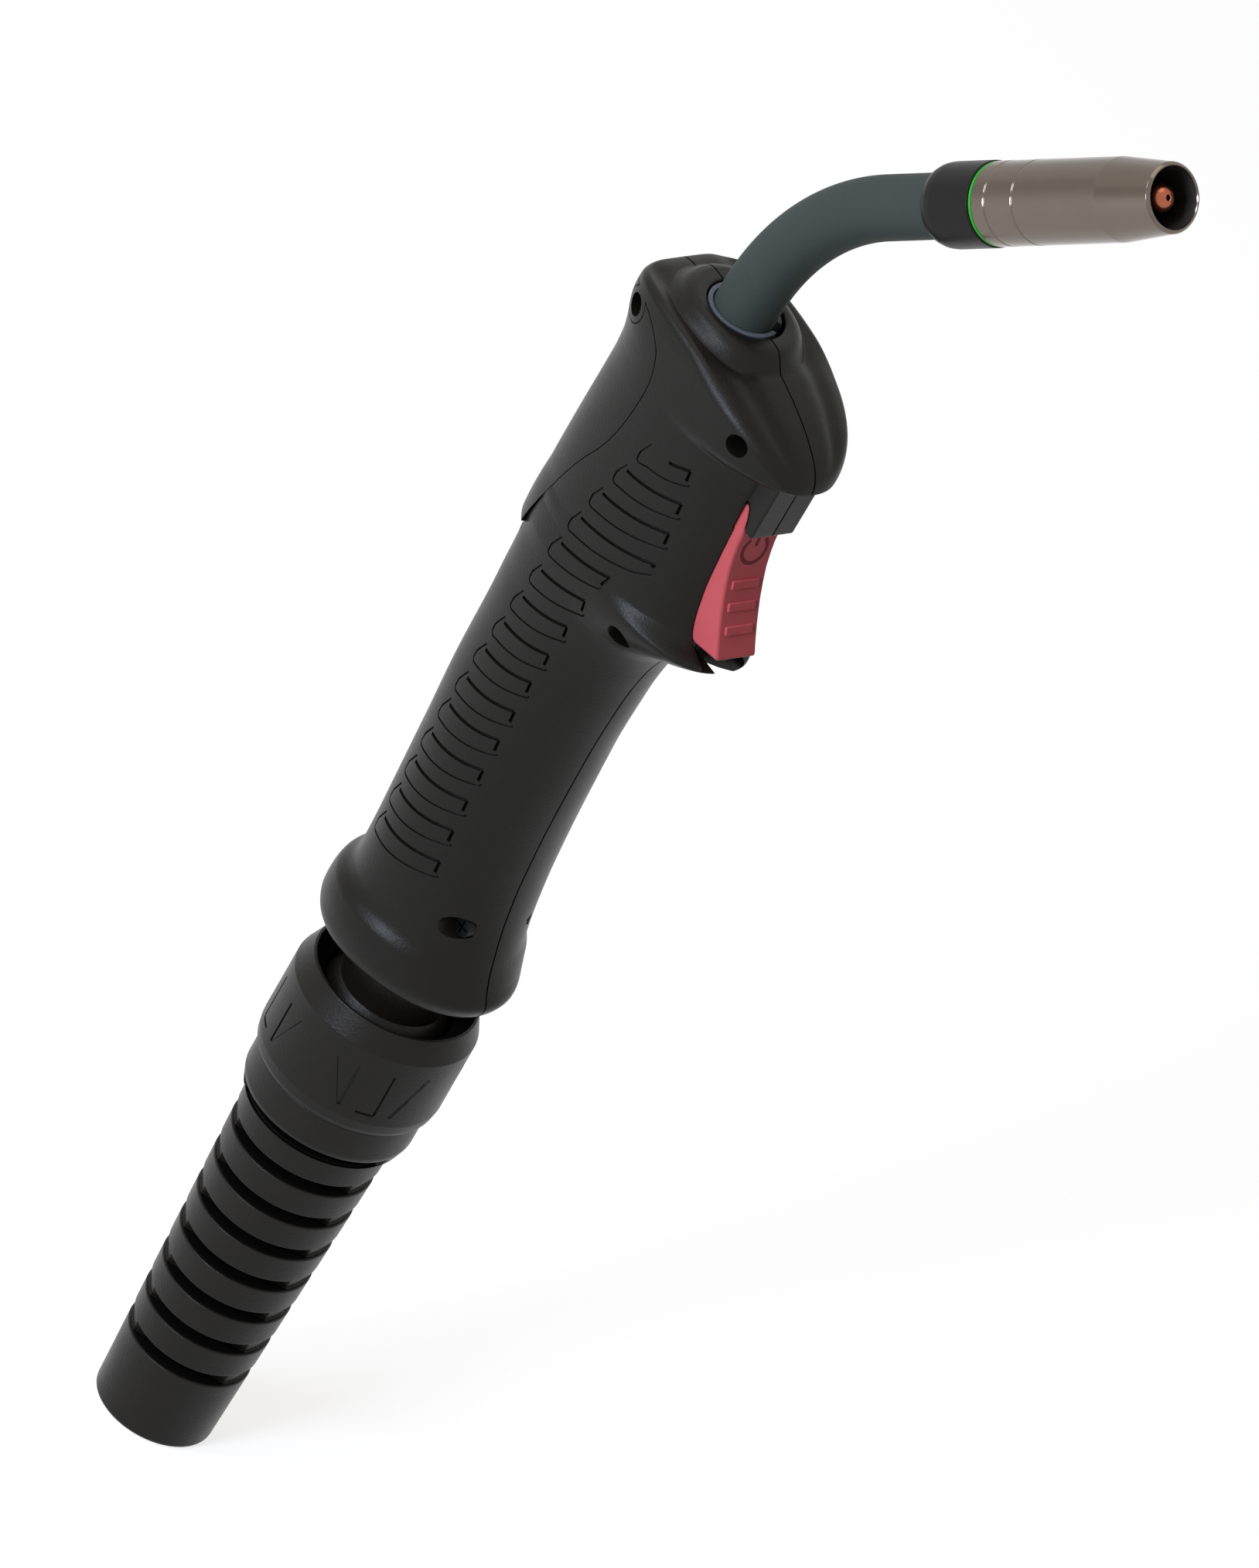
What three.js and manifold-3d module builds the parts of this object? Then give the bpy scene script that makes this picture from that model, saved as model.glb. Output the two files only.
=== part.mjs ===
// MIG welding torch: swan neck, two-part handle with trigger, and a ball-jointed cable support.
// Millimetres, +Z up along the handle towards the neck, +X towards the trigger, origin in the grip.
import * as THREE from 'three';
import { mergeVertices } from 'three/addons/utils/BufferGeometryUtils.js';
import Module from 'manifold-3d';

const wasm = await Module();
wasm.setup();

// ---------------------------------------------------------------- driving dimensions
const clearance = 0.3; // running gap between pieces that touch or slide
const seamGap = 0.3; // parting line between the two handle shells
const wall = 2.6; // handle wall

const gripLength = 112; // bell top to finger guard
const bellHeight = 17; // flared foot of the handle
const headHeight = 85; // finger guard to the top of the head
const gripBottom = -gripLength / 2;
const gripTop = gripLength / 2;
const bellFoot = gripBottom - bellHeight;
const beyond = 2 * gripLength; // how far a cutting tool runs past the piece
const headTop = gripTop + headHeight;

const neckRadius = 8.6; // outside of the jacket
const neckOffset = -9.9; // neck axis behind the ball axis
const neckBendRadius = 80;
const neckBendAngle = Math.PI / 4;
const neckBendStart = headTop + 6.6;
const neckFrontStraight = 107.6; // end of the bend to the nozzle mouth
const jacketWall = 1.3;
const insulationWall = 0.9;
const conductorWall = 1.3;
const linerBore = 1.2;

const bushWall = 1.4;
const bushDepth = 22;
const mouthGap = 0.9; // dark ring between the bush and the handle

const receiverRadius = 11;
const receiverLength = 30;

const cupRadius = 11.3;
const cupLength = 19.3;
const nozzleRadius = 11.05;
const nozzleLength = 64.8;
const nozzleBore = 8.1;
const nozzleWall = 1.75;
const nozzleTaper = 18.4;
const sealThickness = 0.9;
const tipRecess = 2;
const tipRadius = 3.4;
const tipLength = 24;
const wireBore = 0.7;
const holderRadius = 4.4;

const triggerWidth = 14;
const triggerSlotGap = 0.35;
const pinRadius = 1.5;
const switchSize = { x: 9.8, y: 6, z: 19.7 };
const plungerRadius = 1.1;
const plungerSink = 3; // part of the plunger inside the switch
const plungerTravel = 1.9;
const springRadius = 2.6;
const springWire = 0.4;
const springTurns = 5;
const leadRadius = 0.8;

const ballRadius = 20;
const ballDrop = 46; // bell top down to the ball centre
const ballZ = gripBottom - ballDrop;
const stemRadius = 14.5;
const ballBore = 8;
const seatWall = 2.4;
const seatHalfHeight = 9;

const collarRadius = 26.1;
const collarMouthRadius = 23.4;
const collarTop = 17; // rim above the ball centre
const collarCone = 6.5;
const collarBottom = 16; // lower edge below the ball centre
const recessCount = 12;

const sleeveLength = 138; // ball centre to the rear end
const sleeveRearRadius = 16.6;
const sleeveFrontRadius = 20.9;
const sleeveWall = 2.8;
const sleeveHeadRadius = 24.1;
const sleeveHeadHeight = 15.5;
const grooveCount = 8;
const groovePitch = 12;
const grooveWidth = 3.9;
const grooveDepth = 1.1;
const rearBand = 23.6;
const bridgeAngle = THREE.MathUtils.degToRad(40); // half of each bridge between the slots
const bridgeCentre = THREE.MathUtils.degToRad(30);

const screwHoleRadius = 3.1;
const screwHeadRadius = 2.8;
const screwShankRadius = 1.4;
const bossWall = 1.6;

// ---------------------------------------------------------------- solids
const stripped = (geometry) => {
  const bare = geometry.index ? geometry.toNonIndexed() : geometry.clone();
  for (const name of Object.keys(bare.attributes)) {
    if (name !== 'position') bare.deleteAttribute(name);
  }
  return bare;
};

const toSolid = (geometry) => {
  const merged = mergeVertices(stripped(geometry), 1e-4);
  const vertProperties = new Float32Array(merged.attributes.position.array);
  const index = [];
  const source = merged.index.array;
  for (let i = 0; i < source.length; i += 3) {
    const [a, b, c] = [source[i], source[i + 1], source[i + 2]];
    if (a !== b && b !== c && c !== a) index.push(a, b, c);
  }
  const mesh = new wasm.Mesh({ numProp: 3, vertProperties, triVerts: new Uint32Array(index) });
  mesh.merge();
  return new wasm.Manifold(mesh);
};

const toGeometry = (solid) => {
  const mesh = solid.getMesh();
  const geometry = new THREE.BufferGeometry();
  const position = new Float32Array(mesh.vertProperties);
  geometry.setAttribute('position', new THREE.BufferAttribute(position, 3));
  geometry.setIndex(new THREE.BufferAttribute(new Uint32Array(mesh.triVerts), 1));
  return geometry;
};

const cut = (solid, ...tools) => tools.reduce((rest, tool) => rest.subtract(tool), solid);
const join = (solid, ...others) => others.reduce((sum, other) => sum.add(other), solid);

// A turned solid about Z. The profile is a closed loop of [radius, z] given counter-clockwise.
const turned = (profile, sides = 28, x = 0) => {
  const loop = [...profile, profile[0]].map(([r, z]) => new THREE.Vector2(Math.max(r, 0), z));
  const geometry = new THREE.LatheGeometry(loop, sides);
  geometry.rotateX(Math.PI / 2);
  geometry.translate(x, 0, 0);
  return oriented(geometry);
};

// Turns a solid's faces outwards if its volume comes out negative.
const oriented = (geometry) => {
  const bare = mergeVertices(stripped(geometry), 1e-4);
  const p = bare.attributes.position;
  const index = bare.index.array;
  const [a, b, c] = [new THREE.Vector3(), new THREE.Vector3(), new THREE.Vector3()];
  let volume = 0;
  for (let i = 0; i < index.length; i += 3) {
    a.fromBufferAttribute(p, index[i]);
    b.fromBufferAttribute(p, index[i + 1]);
    c.fromBufferAttribute(p, index[i + 2]);
    volume += a.dot(b.cross(c));
  }
  if (volume < 0) {
    for (let i = 0; i < index.length; i += 3) {
      [index[i], index[i + 1]] = [index[i + 1], index[i]];
    }
  }
  return toSolid(bare);
};

// A side outline of [x, z] points pushed through the handle from y0 to y1.
const sidePrism = (outline, y0, y1) => {
  const shape = new THREE.Shape(outline.map(([x, z]) => new THREE.Vector2(x, z)));
  return sideShape(shape, y0, y1);
};

const sideShape = (shape, y0, y1, curveSegments = 10) => {
  const geometry = new THREE.ExtrudeGeometry(shape, { depth: y1 - y0, bevelEnabled: false, curveSegments });
  geometry.rotateX(Math.PI / 2);
  geometry.translate(0, y1, 0);
  return oriented(geometry);
};

const block = (x0, x1, y0, y1, z0, z1) => {
  const geometry = new THREE.BoxGeometry(x1 - x0, y1 - y0, z1 - z0);
  geometry.translate((x0 + x1) / 2, (y0 + y1) / 2, (z0 + z1) / 2);
  return oriented(geometry);
};

// A rod along Y between y0 and y1.
const crossRod = (x, z, radius, y0, y1, sides = 16) => {
  const geometry = new THREE.CylinderGeometry(radius, radius, y1 - y0, sides);
  geometry.translate(x, (y0 + y1) / 2, z);
  return oriented(geometry);
};

const uprightRod = (x, radius, z0, z1, sides = 24) => {
  const geometry = new THREE.CylinderGeometry(radius, radius, z1 - z0, sides);
  geometry.rotateX(Math.PI / 2);
  geometry.translate(x, 0, (z0 + z1) / 2);
  return oriented(geometry);
};

const arcPoints = (radius, centre, from, to, steps) => {
  const points = [];
  for (let i = 0; i <= steps; i += 1) {
    const angle = from + ((to - from) * i) / steps;
    points.push([centre[0] + radius * Math.cos(angle), centre[1] + radius * Math.sin(angle)]);
  }
  return points;
};

// ---------------------------------------------------------------- handle outline
// Levels of the handle: z, back, front, half width, and how square the back and front are
// (2 is round). The finger guard and the nose are the two places where the front runs out.
const grip = (share) => gripBottom + gripLength * share;
const bell = (share) => gripBottom - bellHeight * share;
const head = (drop) => headTop - drop;
const guardReach = 41.8;
const noseReach = 38.3;
const bodyFront = 28.4;
const headHalfWidth = 22;
const coverStep = 2.4;
const gripBack = -33;
const headBack = gripBack - coverStep;
const coverFoot = gripTop + 0.9;

const levels = [
  [bell(1), -27.4, 26.6, 25, 2, 2],
  [bell(0.91), -29, 28.2, 26, 2, 2],
  [bell(0.73), -30.2, 29.2, 26.8, 2, 2],
  [bell(0.47), -29.9, 27.1, 27.4, 2, 2],
  [bell(0.15), -28.6, 24.6, 26, 2, 2],
  [bell(0), -27.2, 24, 25.2, 2, 2],
  [grip(0.035), -25.7, 22.8, 24.5, 2, 2],
  [grip(0.1), -25.7, 21.1, 24.5, 2, 2],
  [grip(0.22), -26.9, 19.1, 24.2, 2, 2],
  [grip(0.4), -29, 17.8, 23.4, 2, 2],
  [grip(0.6), -31.2, 17.4, 22.3, 2.05, 2],
  [grip(0.78), -32, 18.2, 21.4, 2.1, 2.1],
  [grip(0.89), gripBack + 0.6, 20, 21.2, 2.2, 2.1],
  [grip(0.95), gripBack + 0.3, 23, 21.4, 2.2, 2.1],
  [gripTop + 0.6, gripBack, 30.8, 21.7, 2.2, 2.1],
  [gripTop + 1.2, headBack, 32.5, 21.8, 2.4, 2.1],
  [gripTop + 6, headBack - 0.2, guardReach - 1.2, 21.8, 2.4, 2.1],
  [gripTop + 9.2, headBack - 0.2, guardReach, 21.8, 2.4, 2.1],
  [gripTop + 10.4, headBack - 0.2, bodyFront + 7.8, 21.8, 2.4, 2.1],
  [gripTop + 12, headBack - 0.2, bodyFront + 6.2, 21.8, 2.4, 2.1],
  [gripTop + 15, headBack - 0.1, bodyFront + 4.5, 21.8, 2.4, 2.1],
  [gripTop + 19, headBack - 0.1, bodyFront + 3.5, 21.8, 2.3, 2.1],
  [gripTop + 24, headBack, bodyFront + 2.4, 21.9, 2.3, 2.1],
  [gripTop + 30, headBack, bodyFront + 1.4, 21.9, 2.3, 2.1],
  [head(28), headBack, bodyFront - 0.2, headHalfWidth, 2.2, 2.1],
  [head(20), headBack - 0.3, bodyFront + 0.6, headHalfWidth, 2.4, 2],
  [head(17.4), headBack - 0.8, noseReach - 2.2, headHalfWidth, 2.6, 1.95],
  [head(15), headBack - 1.1, noseReach, headHalfWidth, 2.8, 1.85],
  [head(5), headBack - 1.6, noseReach, headHalfWidth, 4.5, 1.8],
  [head(-0.4), headBack + 0.4, noseReach, headHalfWidth - 2.4, 4.5, 2],
];

const sectionCentre = -4;
const ringPoint = ([z, back, front, half, squareBack, squareFront], angle, inset) => {
  const [c, s] = [Math.cos(angle), Math.sin(angle)];
  const square = c > 0 ? squareFront : squareBack;
  const reach = c > 0 ? front - sectionCentre : sectionCentre - back;
  const curve = (value) => Math.sign(value) * Math.abs(value) ** (2 / square);
  const x = sectionCentre + (reach - inset) * curve(c);
  const y = (half - inset) * curve(s);
  return [x, y, z];
};

// A closed skin through the rings, with flat ends.
const skinned = (rings) => {
  const count = rings[0].length;
  const position = [];
  rings.forEach((ring) => ring.forEach((point) => position.push(...point)));
  const index = [];
  for (let i = 0; i + 1 < rings.length; i += 1) {
    for (let j = 0; j < count; j += 1) {
      const [a, b] = [i * count + j, i * count + ((j + 1) % count)];
      const [c, d] = [a + count, b + count];
      index.push(a, b, d, a, d, c);
    }
  }
  const last = (rings.length - 1) * count;
  for (let j = 1; j + 1 < count; j += 1) {
    index.push(0, j + 1, j);
    index.push(last, last + j, last + j + 1);
  }
  const geometry = new THREE.BufferGeometry();
  geometry.setAttribute('position', new THREE.Float32BufferAttribute(position, 3));
  geometry.setIndex(index);
  return oriented(geometry);
};

const handleSkin = (rows, inset, sides) => {
  const rings = rows.map((row) => {
    const ring = [];
    for (let j = 0; j < sides; j += 1) ring.push(ringPoint(row, (2 * Math.PI * j) / sides, inset));
    return ring;
  });
  return skinned(rings);
};

// Side outline of the head: flat crown, long rounded fall to the nose.
const crownShape = (shrink) => {
  const shape = new THREE.Shape();
  const top = headTop - shrink;
  const nose = noseReach - shrink;
  shape.moveTo(-beyond, -beyond);
  shape.lineTo(beyond, -beyond);
  shape.lineTo(beyond, top - 15.6);
  shape.lineTo(nose - 0.1, top - 15.6);
  shape.splineThru([
    [nose - 1.6, top - 13.1], [nose - 3.9, top - 10.7], [nose - 7.8, top - 7.4],
    [nose - 11.8, top - 4.9], [nose - 15.6, top - 3.3], [nose - 20, top - 1.8], [nose - 25, top - 0.8],
  ].map(([x, z]) => new THREE.Vector2(x, z)));
  shape.lineTo(headBack + 4.4 + shrink, top);
  shape.lineTo(headBack + 0.9 + shrink, top - 1.3);
  shape.lineTo(headBack - 1.1 + shrink, top - 4.8);
  shape.lineTo(-beyond, top - 4.8);
  shape.closePath();
  return sideShape(shape, -beyond, beyond, 4);
};

const bossTop = headTop + 5.4;
const neckBoss = (inset) => {
  const rows = [
    [headTop - 6, 21.8, 17.6],
    [headTop + 0.4, 20.7, 16.8],
    [headTop + 3, 18.9, 15.4],
    [headTop + 4.5, 16.8, 13.8],
    [bossTop, 13.4, 11.9],
  ];
  const rings = rows.map(([z, long, wide]) => {
    const ring = [];
    for (let j = 0; j < 28; j += 1) {
      const angle = (2 * Math.PI * j) / 28;
      const curve = (value) => Math.sign(value) * Math.abs(value) ** (2 / 2.5);
      const x = neckOffset - 0.3 + (long - inset) * curve(Math.cos(angle));
      ring.push([x, (wide - inset) * curve(Math.sin(angle)), z]);
    }
    return ring;
  });
  return skinned(rings);
};

// ---------------------------------------------------------------- places shared by several pieces
const bushRadius = neckRadius + clearance + bushWall;
const mouthRadius = bushRadius + mouthGap;
const bushTop = bossTop - 0.6;
const bushBottom = bushTop - bushDepth;
const receiverTop = bushBottom - clearance;
const receiverBottom = receiverTop - receiverLength;

const trigger = {
  foot: gripTop + 12.4,
  pinX: 22.6,
  pinZ: headTop - 33.4,
  tipZ: headTop - 29.8,
};
const hood = { x0: 24, x1: 33, half: 7.5, reach: 20, z0: headTop - 35.5, z1: headTop - 16.4 };
const triggerHalf = triggerWidth / 2;
const slotHalf = triggerHalf + triggerSlotGap;
const switchFace = 19.3;
const switchTop = headTop - 42.1;
const switchBottom = switchTop - switchSize.z;
const plungerZ = headTop - 49.8;
const plungerTip = switchFace + 2.2;
const springZ = trigger.foot + 4.6;
const springSeat = 16.7;

const flangeBottom = bellFoot + 3.4 + clearance;
const flangeTop = flangeBottom + 3;
const spigotRadius = stemRadius - 3;

const screws = [
  { name: 'screw_nose', x: 22.5, z: headTop - 10.4 },
  { name: 'screw_guard', x: 19.6, z: gripTop + 3.6 },
  { name: 'screw_bell', x: 17.6, z: gripBottom + 8.4 },
  { name: 'screw_back', x: headBack + 8.8, z: headTop - 6.7 },
];
const headPlane = -8.4; // where every screw head seats

// ---------------------------------------------------------------- handle shells and back cover
const outer = () => {
  const body = handleSkin(levels, 0, 34).intersect(crownShape(0));
  const hoodBlock = sidePrism([
    [hood.x0, hood.z0 + 5], [hood.x0 + 3, hood.z0 + 5], [hood.x1 - 2.8, hood.z0],
    [hood.x1, hood.z0], [hood.x1 + 0.4, hood.z1 + 3], [hood.x0, hood.z1 + 3],
  ], -hood.half, hood.half);
  return join(body, neckBoss(0), hoodBlock);
};

const cavity = (inset = wall) => {
  const floor = bellFoot + 3.4;
  const frontLimit = bodyFront + 0.6;
  const rows = levels
    .filter(([z], i) => i % 2 === 0 && z > floor + 1 && z < headTop - 2)
    .map(([z, back, front, half, squareBack, squareFront]) => {
      const kept = z < head(19) ? Math.min(front, frontLimit) : front;
      return [z, Math.max(back, z < coverFoot ? back : headBack), kept, half, squareBack, squareFront];
    });
  const first = [floor, ...rows[0].slice(1)];
  const last = [headTop - 1.5, ...rows[rows.length - 1].slice(1)];
  const room = handleSkin([first, ...rows, last], inset, 20);
  return room.intersect(crownShape(inset));
};

const slotOutline = [
  [17.5, gripTop + 9.8], [beyond, gripTop + 9.8], [beyond, hood.z0 - 0.5], [hood.x1 - 2.5, hood.z0 - 0.5],
  [hood.x0 + 3.3, hood.z0 + 5.2], [hood.x0 + 2.4, hood.z0 + 7], [18, hood.z0 + 7],
];

const coverShape = (grow) => {
  const shape = new THREE.Shape();
  const foot = coverFoot - 4.2 - grow;
  shape.moveTo(-beyond, foot);
  shape.lineTo(headBack + 8 + grow, foot);
  shape.splineThru([
    [-22 + grow, coverFoot + 16], [-12.7 + grow, coverFoot + 40], [-8.7 + grow, headTop - 20.6],
    [-11.2 + grow, headTop - 10.4], [-14.2, headTop - 7.2 + grow], [-20.8, headTop - 3.6 + grow],
  ].map(([x, z]) => new THREE.Vector2(x, z)));
  shape.lineTo(-24.7, headTop - 3.2 + grow);
  shape.lineTo(-beyond, headTop - 3.2 + grow);
  shape.closePath();
  return sideShape(shape, -beyond, beyond, 3);
};

const ribs = () => {
  const room = cavity(wall - 0.6);
  const slab = (x0, x1, z0, z1) => room.intersect(block(x0, x1, -beyond, beyond, z0, z1));
  const middle = neckOffset + receiverRadius + clearance + wall;
  const switchBack = switchFace - switchSize.x;
  const leadWay = block(switchBack + 0.4, switchBack + 3.2, -4, 4, gripTop, switchBottom);
  const switchRibs = cut(
    join(
      slab(middle, beyond, switchBottom - clearance - wall, switchBottom - clearance),
      slab(middle, beyond, switchTop + clearance, switchTop + clearance + wall),
    ),
    leadWay,
  );
  const receiverRibs = cut(
    join(
      slab(-beyond, middle, receiverBottom + wall, receiverBottom + 2 * wall),
      slab(-beyond, middle, receiverTop - 2 * wall, receiverTop - wall),
    ),
    uprightRod(neckOffset, receiverRadius + clearance, receiverBottom - 1, receiverTop + 1),
  );
  const ballRib = cut(
    slab(-beyond, beyond, flangeTop + clearance, flangeTop + clearance + wall),
    uprightRod(0, spigotRadius + clearance, bellFoot, gripTop),
  );
  const springPost = block(
    switchBack + 3.6, springSeat, -3.6, 3.6, springZ - 3.6, switchBottom - clearance - 0.1,
  );
  const switchStop = block(
    switchBack - 2.4, switchBack - clearance, -6, 6, switchBottom - clearance - 1, switchTop + 1,
  );
  const mouthCollar = cut(
    uprightRod(neckOffset, mouthRadius + 2, bushBottom + 6, headTop + 1),
    uprightRod(neckOffset, bushRadius + clearance, bushBottom, headTop + 2),
  );
  const nearTrigger = block(
    switchFace + 0.2, beyond, -slotHalf - 0.3, slotHalf + 0.3, gripTop, headTop,
  );
  const all = join(switchRibs, receiverRibs, ballRib, springPost, switchStop, mouthCollar);
  return cut(all, nearTrigger);
};

const bosses = () => {
  const posts = screws.map(({ x, z }) => crossRod(x, z, screwHoleRadius + bossWall, -beyond, beyond, 12));
  const within = outer();
  return posts.reduce((sum, post) => sum.add(post.intersect(within)), posts[0].intersect(within));
};

const pinBosses = () => {
  const post = crossRod(trigger.pinX, trigger.pinZ, pinRadius + 2, -hood.reach, hood.reach, 12);
  return cut(post.intersect(outer()), block(0, beyond, -slotHalf, slotHalf, gripTop, headTop));
};

const drilled = (solid) => {
  let rest = solid;
  for (const { x, z } of screws) {
    rest = cut(
      rest,
      crossRod(x, z, screwHoleRadius, -beyond, headPlane),
      crossRod(x, z, screwShankRadius + clearance, headPlane - 1, 12.5, 10),
    );
  }
  return rest;
};

const shellBody = () => {
  const hollow = cut(outer(), cavity());
  const dressed = join(hollow, ribs(), bosses(), pinBosses());
  const opened = cut(
    dressed,
    sidePrism(slotOutline, -slotHalf, slotHalf),
    block(guardReach - 12, beyond, -3.4, 3.4, gripTop - 4, gripTop + 12),
    uprightRod(neckOffset, mouthRadius, headTop - 1.2, beyond, 28),
    uprightRod(neckOffset, bushRadius + clearance, bushBottom - 0.2, beyond, 28),
    uprightRod(0, stemRadius + clearance, -beyond, bellFoot + 5, 28),
    crossRod(trigger.pinX, trigger.pinZ, pinRadius + 0.2, -10.7, 10.7, 16),
  );
  return drilled(opened);
};

const halfSpace = (side) => (side < 0
  ? block(-beyond, beyond, -beyond, -seamGap / 2, -beyond, beyond)
  : block(-beyond, beyond, seamGap / 2, beyond, -beyond, beyond));

const shell = shellBody();
const halves = { left: -1, right: 1 };
const backScrew = screws[3];
const coverZone = cut(
  coverShape(clearance),
  crossRod(backScrew.x, backScrew.z, screwHoleRadius + bossWall, -beyond, beyond, 12),
);
const shellHalf = (side) => cut(shell.intersect(halfSpace(side)), coverZone);

const backCover = () => {
  const skin = cut(outer(), cavity());
  const zone = coverShape(0);
  return cut(
    skin.intersect(zone),
    crossRod(backScrew.x, backScrew.z, screwHoleRadius + bossWall + clearance, -beyond, beyond),
  );
};

// ---------------------------------------------------------------- neck
// The neck's line, with one step along each straight and the rest of the steps in the bend.
class NeckPath extends THREE.Curve {
  constructor(start, end, bendSteps) {
    super();
    this.start = start; // distance before the bend
    this.end = end; // distance after the bend
    this.bendSteps = bendSteps;
  }

  getUtoTmapping(u) {
    return u;
  }

  getPoint(t, target = new THREE.Vector3()) {
    const step = t * (this.bendSteps + 2);
    const before = this.start * Math.max(1 - step, 0);
    const turn = (neckBendAngle * Math.min(Math.max(step - 1, 0), this.bendSteps)) / this.bendSteps;
    const after = this.end * Math.max(step - 1 - this.bendSteps, 0);
    const x = neckOffset + neckBendRadius * (1 - Math.cos(turn)) + after * Math.sin(neckBendAngle);
    const z = neckBendStart + neckBendRadius * Math.sin(turn) + after * Math.cos(neckBendAngle);
    return target.set(x, 0, z - before);
  }
}

const neckLayer = (radius, bore, start, end, sides, bendSteps) => {
  const shape = new THREE.Shape();
  const hole = new THREE.Path();
  for (let i = 0; i < sides; i += 1) {
    const angle = (2 * Math.PI * i) / sides;
    const [c, s] = [Math.cos(angle), Math.sin(angle)];
    if (i) {
      shape.lineTo(radius * c, radius * s);
      hole.lineTo(bore * c, bore * s);
    } else {
      shape.moveTo(radius, 0);
      hole.moveTo(bore, 0);
    }
  }
  shape.closePath();
  hole.closePath();
  shape.holes.push(hole);
  const extrudePath = new NeckPath(start, end, bendSteps);
  const steps = bendSteps + 2;
  return oriented(new THREE.ExtrudeGeometry(shape, { steps, extrudePath, bevelEnabled: false }));
};

const jacketInner = neckRadius - jacketWall;
const insulationOuter = jacketInner - clearance;
const insulationInner = insulationOuter - insulationWall;
const conductorOuter = insulationInner - clearance;
const conductorInner = conductorOuter - conductorWall;
const linerOuter = conductorInner - clearance;

const cupBack = neckFrontStraight - nozzleLength - 2 * clearance - sealThickness - cupLength;
const cupFront = cupBack + cupLength;
const sealBack = cupFront + clearance;
const nozzleBack = sealBack + sealThickness + clearance;
const nozzleMouth = nozzleBack + nozzleLength;
const jacketEnd = cupBack + 9;
const conductorEnd = cupFront - 5;
const tipEnd = nozzleMouth - tipRecess;
const tipSeat = tipEnd - tipLength;
const holderBack = conductorEnd + clearance;
const holderFront = tipSeat - clearance;

const neckBush = () => {
  const ring = turned([
    [neckRadius + clearance, bushBottom], [bushRadius, bushBottom], [bushRadius, bushTop - 0.5],
    [bushRadius - 0.5, bushTop], [neckRadius + clearance, bushTop],
  ], 28, neckOffset);
  return cut(ring, block(neckOffset + neckRadius - 1, neckOffset + bushRadius + 2, -1.4, 1.4,
    bushTop - 4, bushTop + 1));
};

const receiver = () => {
  const bore = insulationOuter + clearance;
  return turned([
    [bore, receiverBottom + 8], [bore, receiverTop], [receiverRadius, receiverTop],
    [receiverRadius, receiverBottom + 2], [receiverRadius - 2, receiverBottom],
    [receiverRadius - 3, receiverBottom], [receiverRadius - 3, receiverBottom - 9],
    [linerOuter + clearance, receiverBottom - 9], [linerOuter + clearance, receiverBottom + 8],
  ], 28, neckOffset);
};

// ---------------------------------------------------------------- front end, about its own axis
const cup = () => turned([
  [neckRadius + clearance, cupBack], [cupRadius - 2.1, cupBack],
  [cupRadius - 1, cupBack + 0.6], [cupRadius - 0.3, cupBack + 1.8], [cupRadius, cupBack + 3.6],
  [cupRadius, cupFront - 0.9], [cupRadius - 0.3, cupFront - 0.2], [cupRadius - 0.6, cupFront],
  [conductorOuter + clearance, cupFront], [conductorOuter + clearance, jacketEnd + clearance],
  [neckRadius + clearance, jacketEnd + clearance],
]);

const sealRing = () => turned([
  [holderRadius + 4.2, sealBack], [cupRadius - 0.15, sealBack],
  [cupRadius - 0.15, sealBack + sealThickness], [holderRadius + 4.2, sealBack + sealThickness],
]);

const nozzleGrooves = [4.9, 15.3];
const mouthOuter = nozzleBore + 0.8;
const nozzle = () => {
  const bore = nozzleRadius - nozzleWall;
  const taperStart = nozzleMouth - nozzleTaper;
  const grooves = nozzleGrooves.flatMap((rise) => {
    const z = nozzleBack + rise;
    return [[nozzleRadius, z - 0.25], [nozzleRadius - 0.2, z], [nozzleRadius, z + 0.25]];
  });
  return turned([
    [bore, nozzleBack], [nozzleRadius - 0.3, nozzleBack], [nozzleRadius, nozzleBack + 0.4],
    ...grooves, [nozzleRadius, taperStart], [mouthOuter + 0.2, nozzleMouth - 0.8],
    [mouthOuter - 0.3, nozzleMouth], [nozzleBore + 0.2, nozzleMouth],
    [nozzleBore, nozzleMouth - 0.3], [nozzleBore, nozzleMouth - 8], [bore, taperStart - 6],
  ], 32);
};

const carrierOuter = nozzleRadius - nozzleWall - clearance;
const carrierLength = 16;
const gasDiffuser = () => {
  const back = nozzleBack;
  const body = turned([
    [holderRadius + clearance, back], [carrierOuter, back], [carrierOuter, back + 6],
    [carrierOuter - 1.1, back + 6.2], [carrierOuter - 1.1, back + 7.8], [carrierOuter, back + 8],
    [carrierOuter, back + carrierLength - 1], [carrierOuter - 1, back + carrierLength],
    [holderRadius + clearance, back + carrierLength],
  ], 32);
  let rest = body;
  for (let i = 0; i < 8; i += 1) {
    const hole = new THREE.CylinderGeometry(0.9, 0.9, carrierLength + 4, 6);
    hole.rotateX(Math.PI / 2);
    const angle = (i + 0.5) * (Math.PI / 4);
    const ring = (holderRadius + carrierOuter - 1.1) / 2;
    hole.translate(ring * Math.cos(angle), ring * Math.sin(angle), back + carrierLength / 2);
    rest = cut(rest, oriented(hole));
  }
  return rest;
};

const springGroove = nozzleBack + 7;
const nozzleSpring = () => {
  const tube = 0.4;
  const centre = carrierOuter - 1.1 + clearance + tube;
  const points = arcPoints(tube, [centre, springGroove], 0, 2 * Math.PI, 8).slice(0, 8);
  const ring = turned(points, 28);
  const split = new THREE.BoxGeometry(4, 1.2, 4);
  split.translate(centre, 0, springGroove);
  return cut(ring, oriented(split));
};

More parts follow.
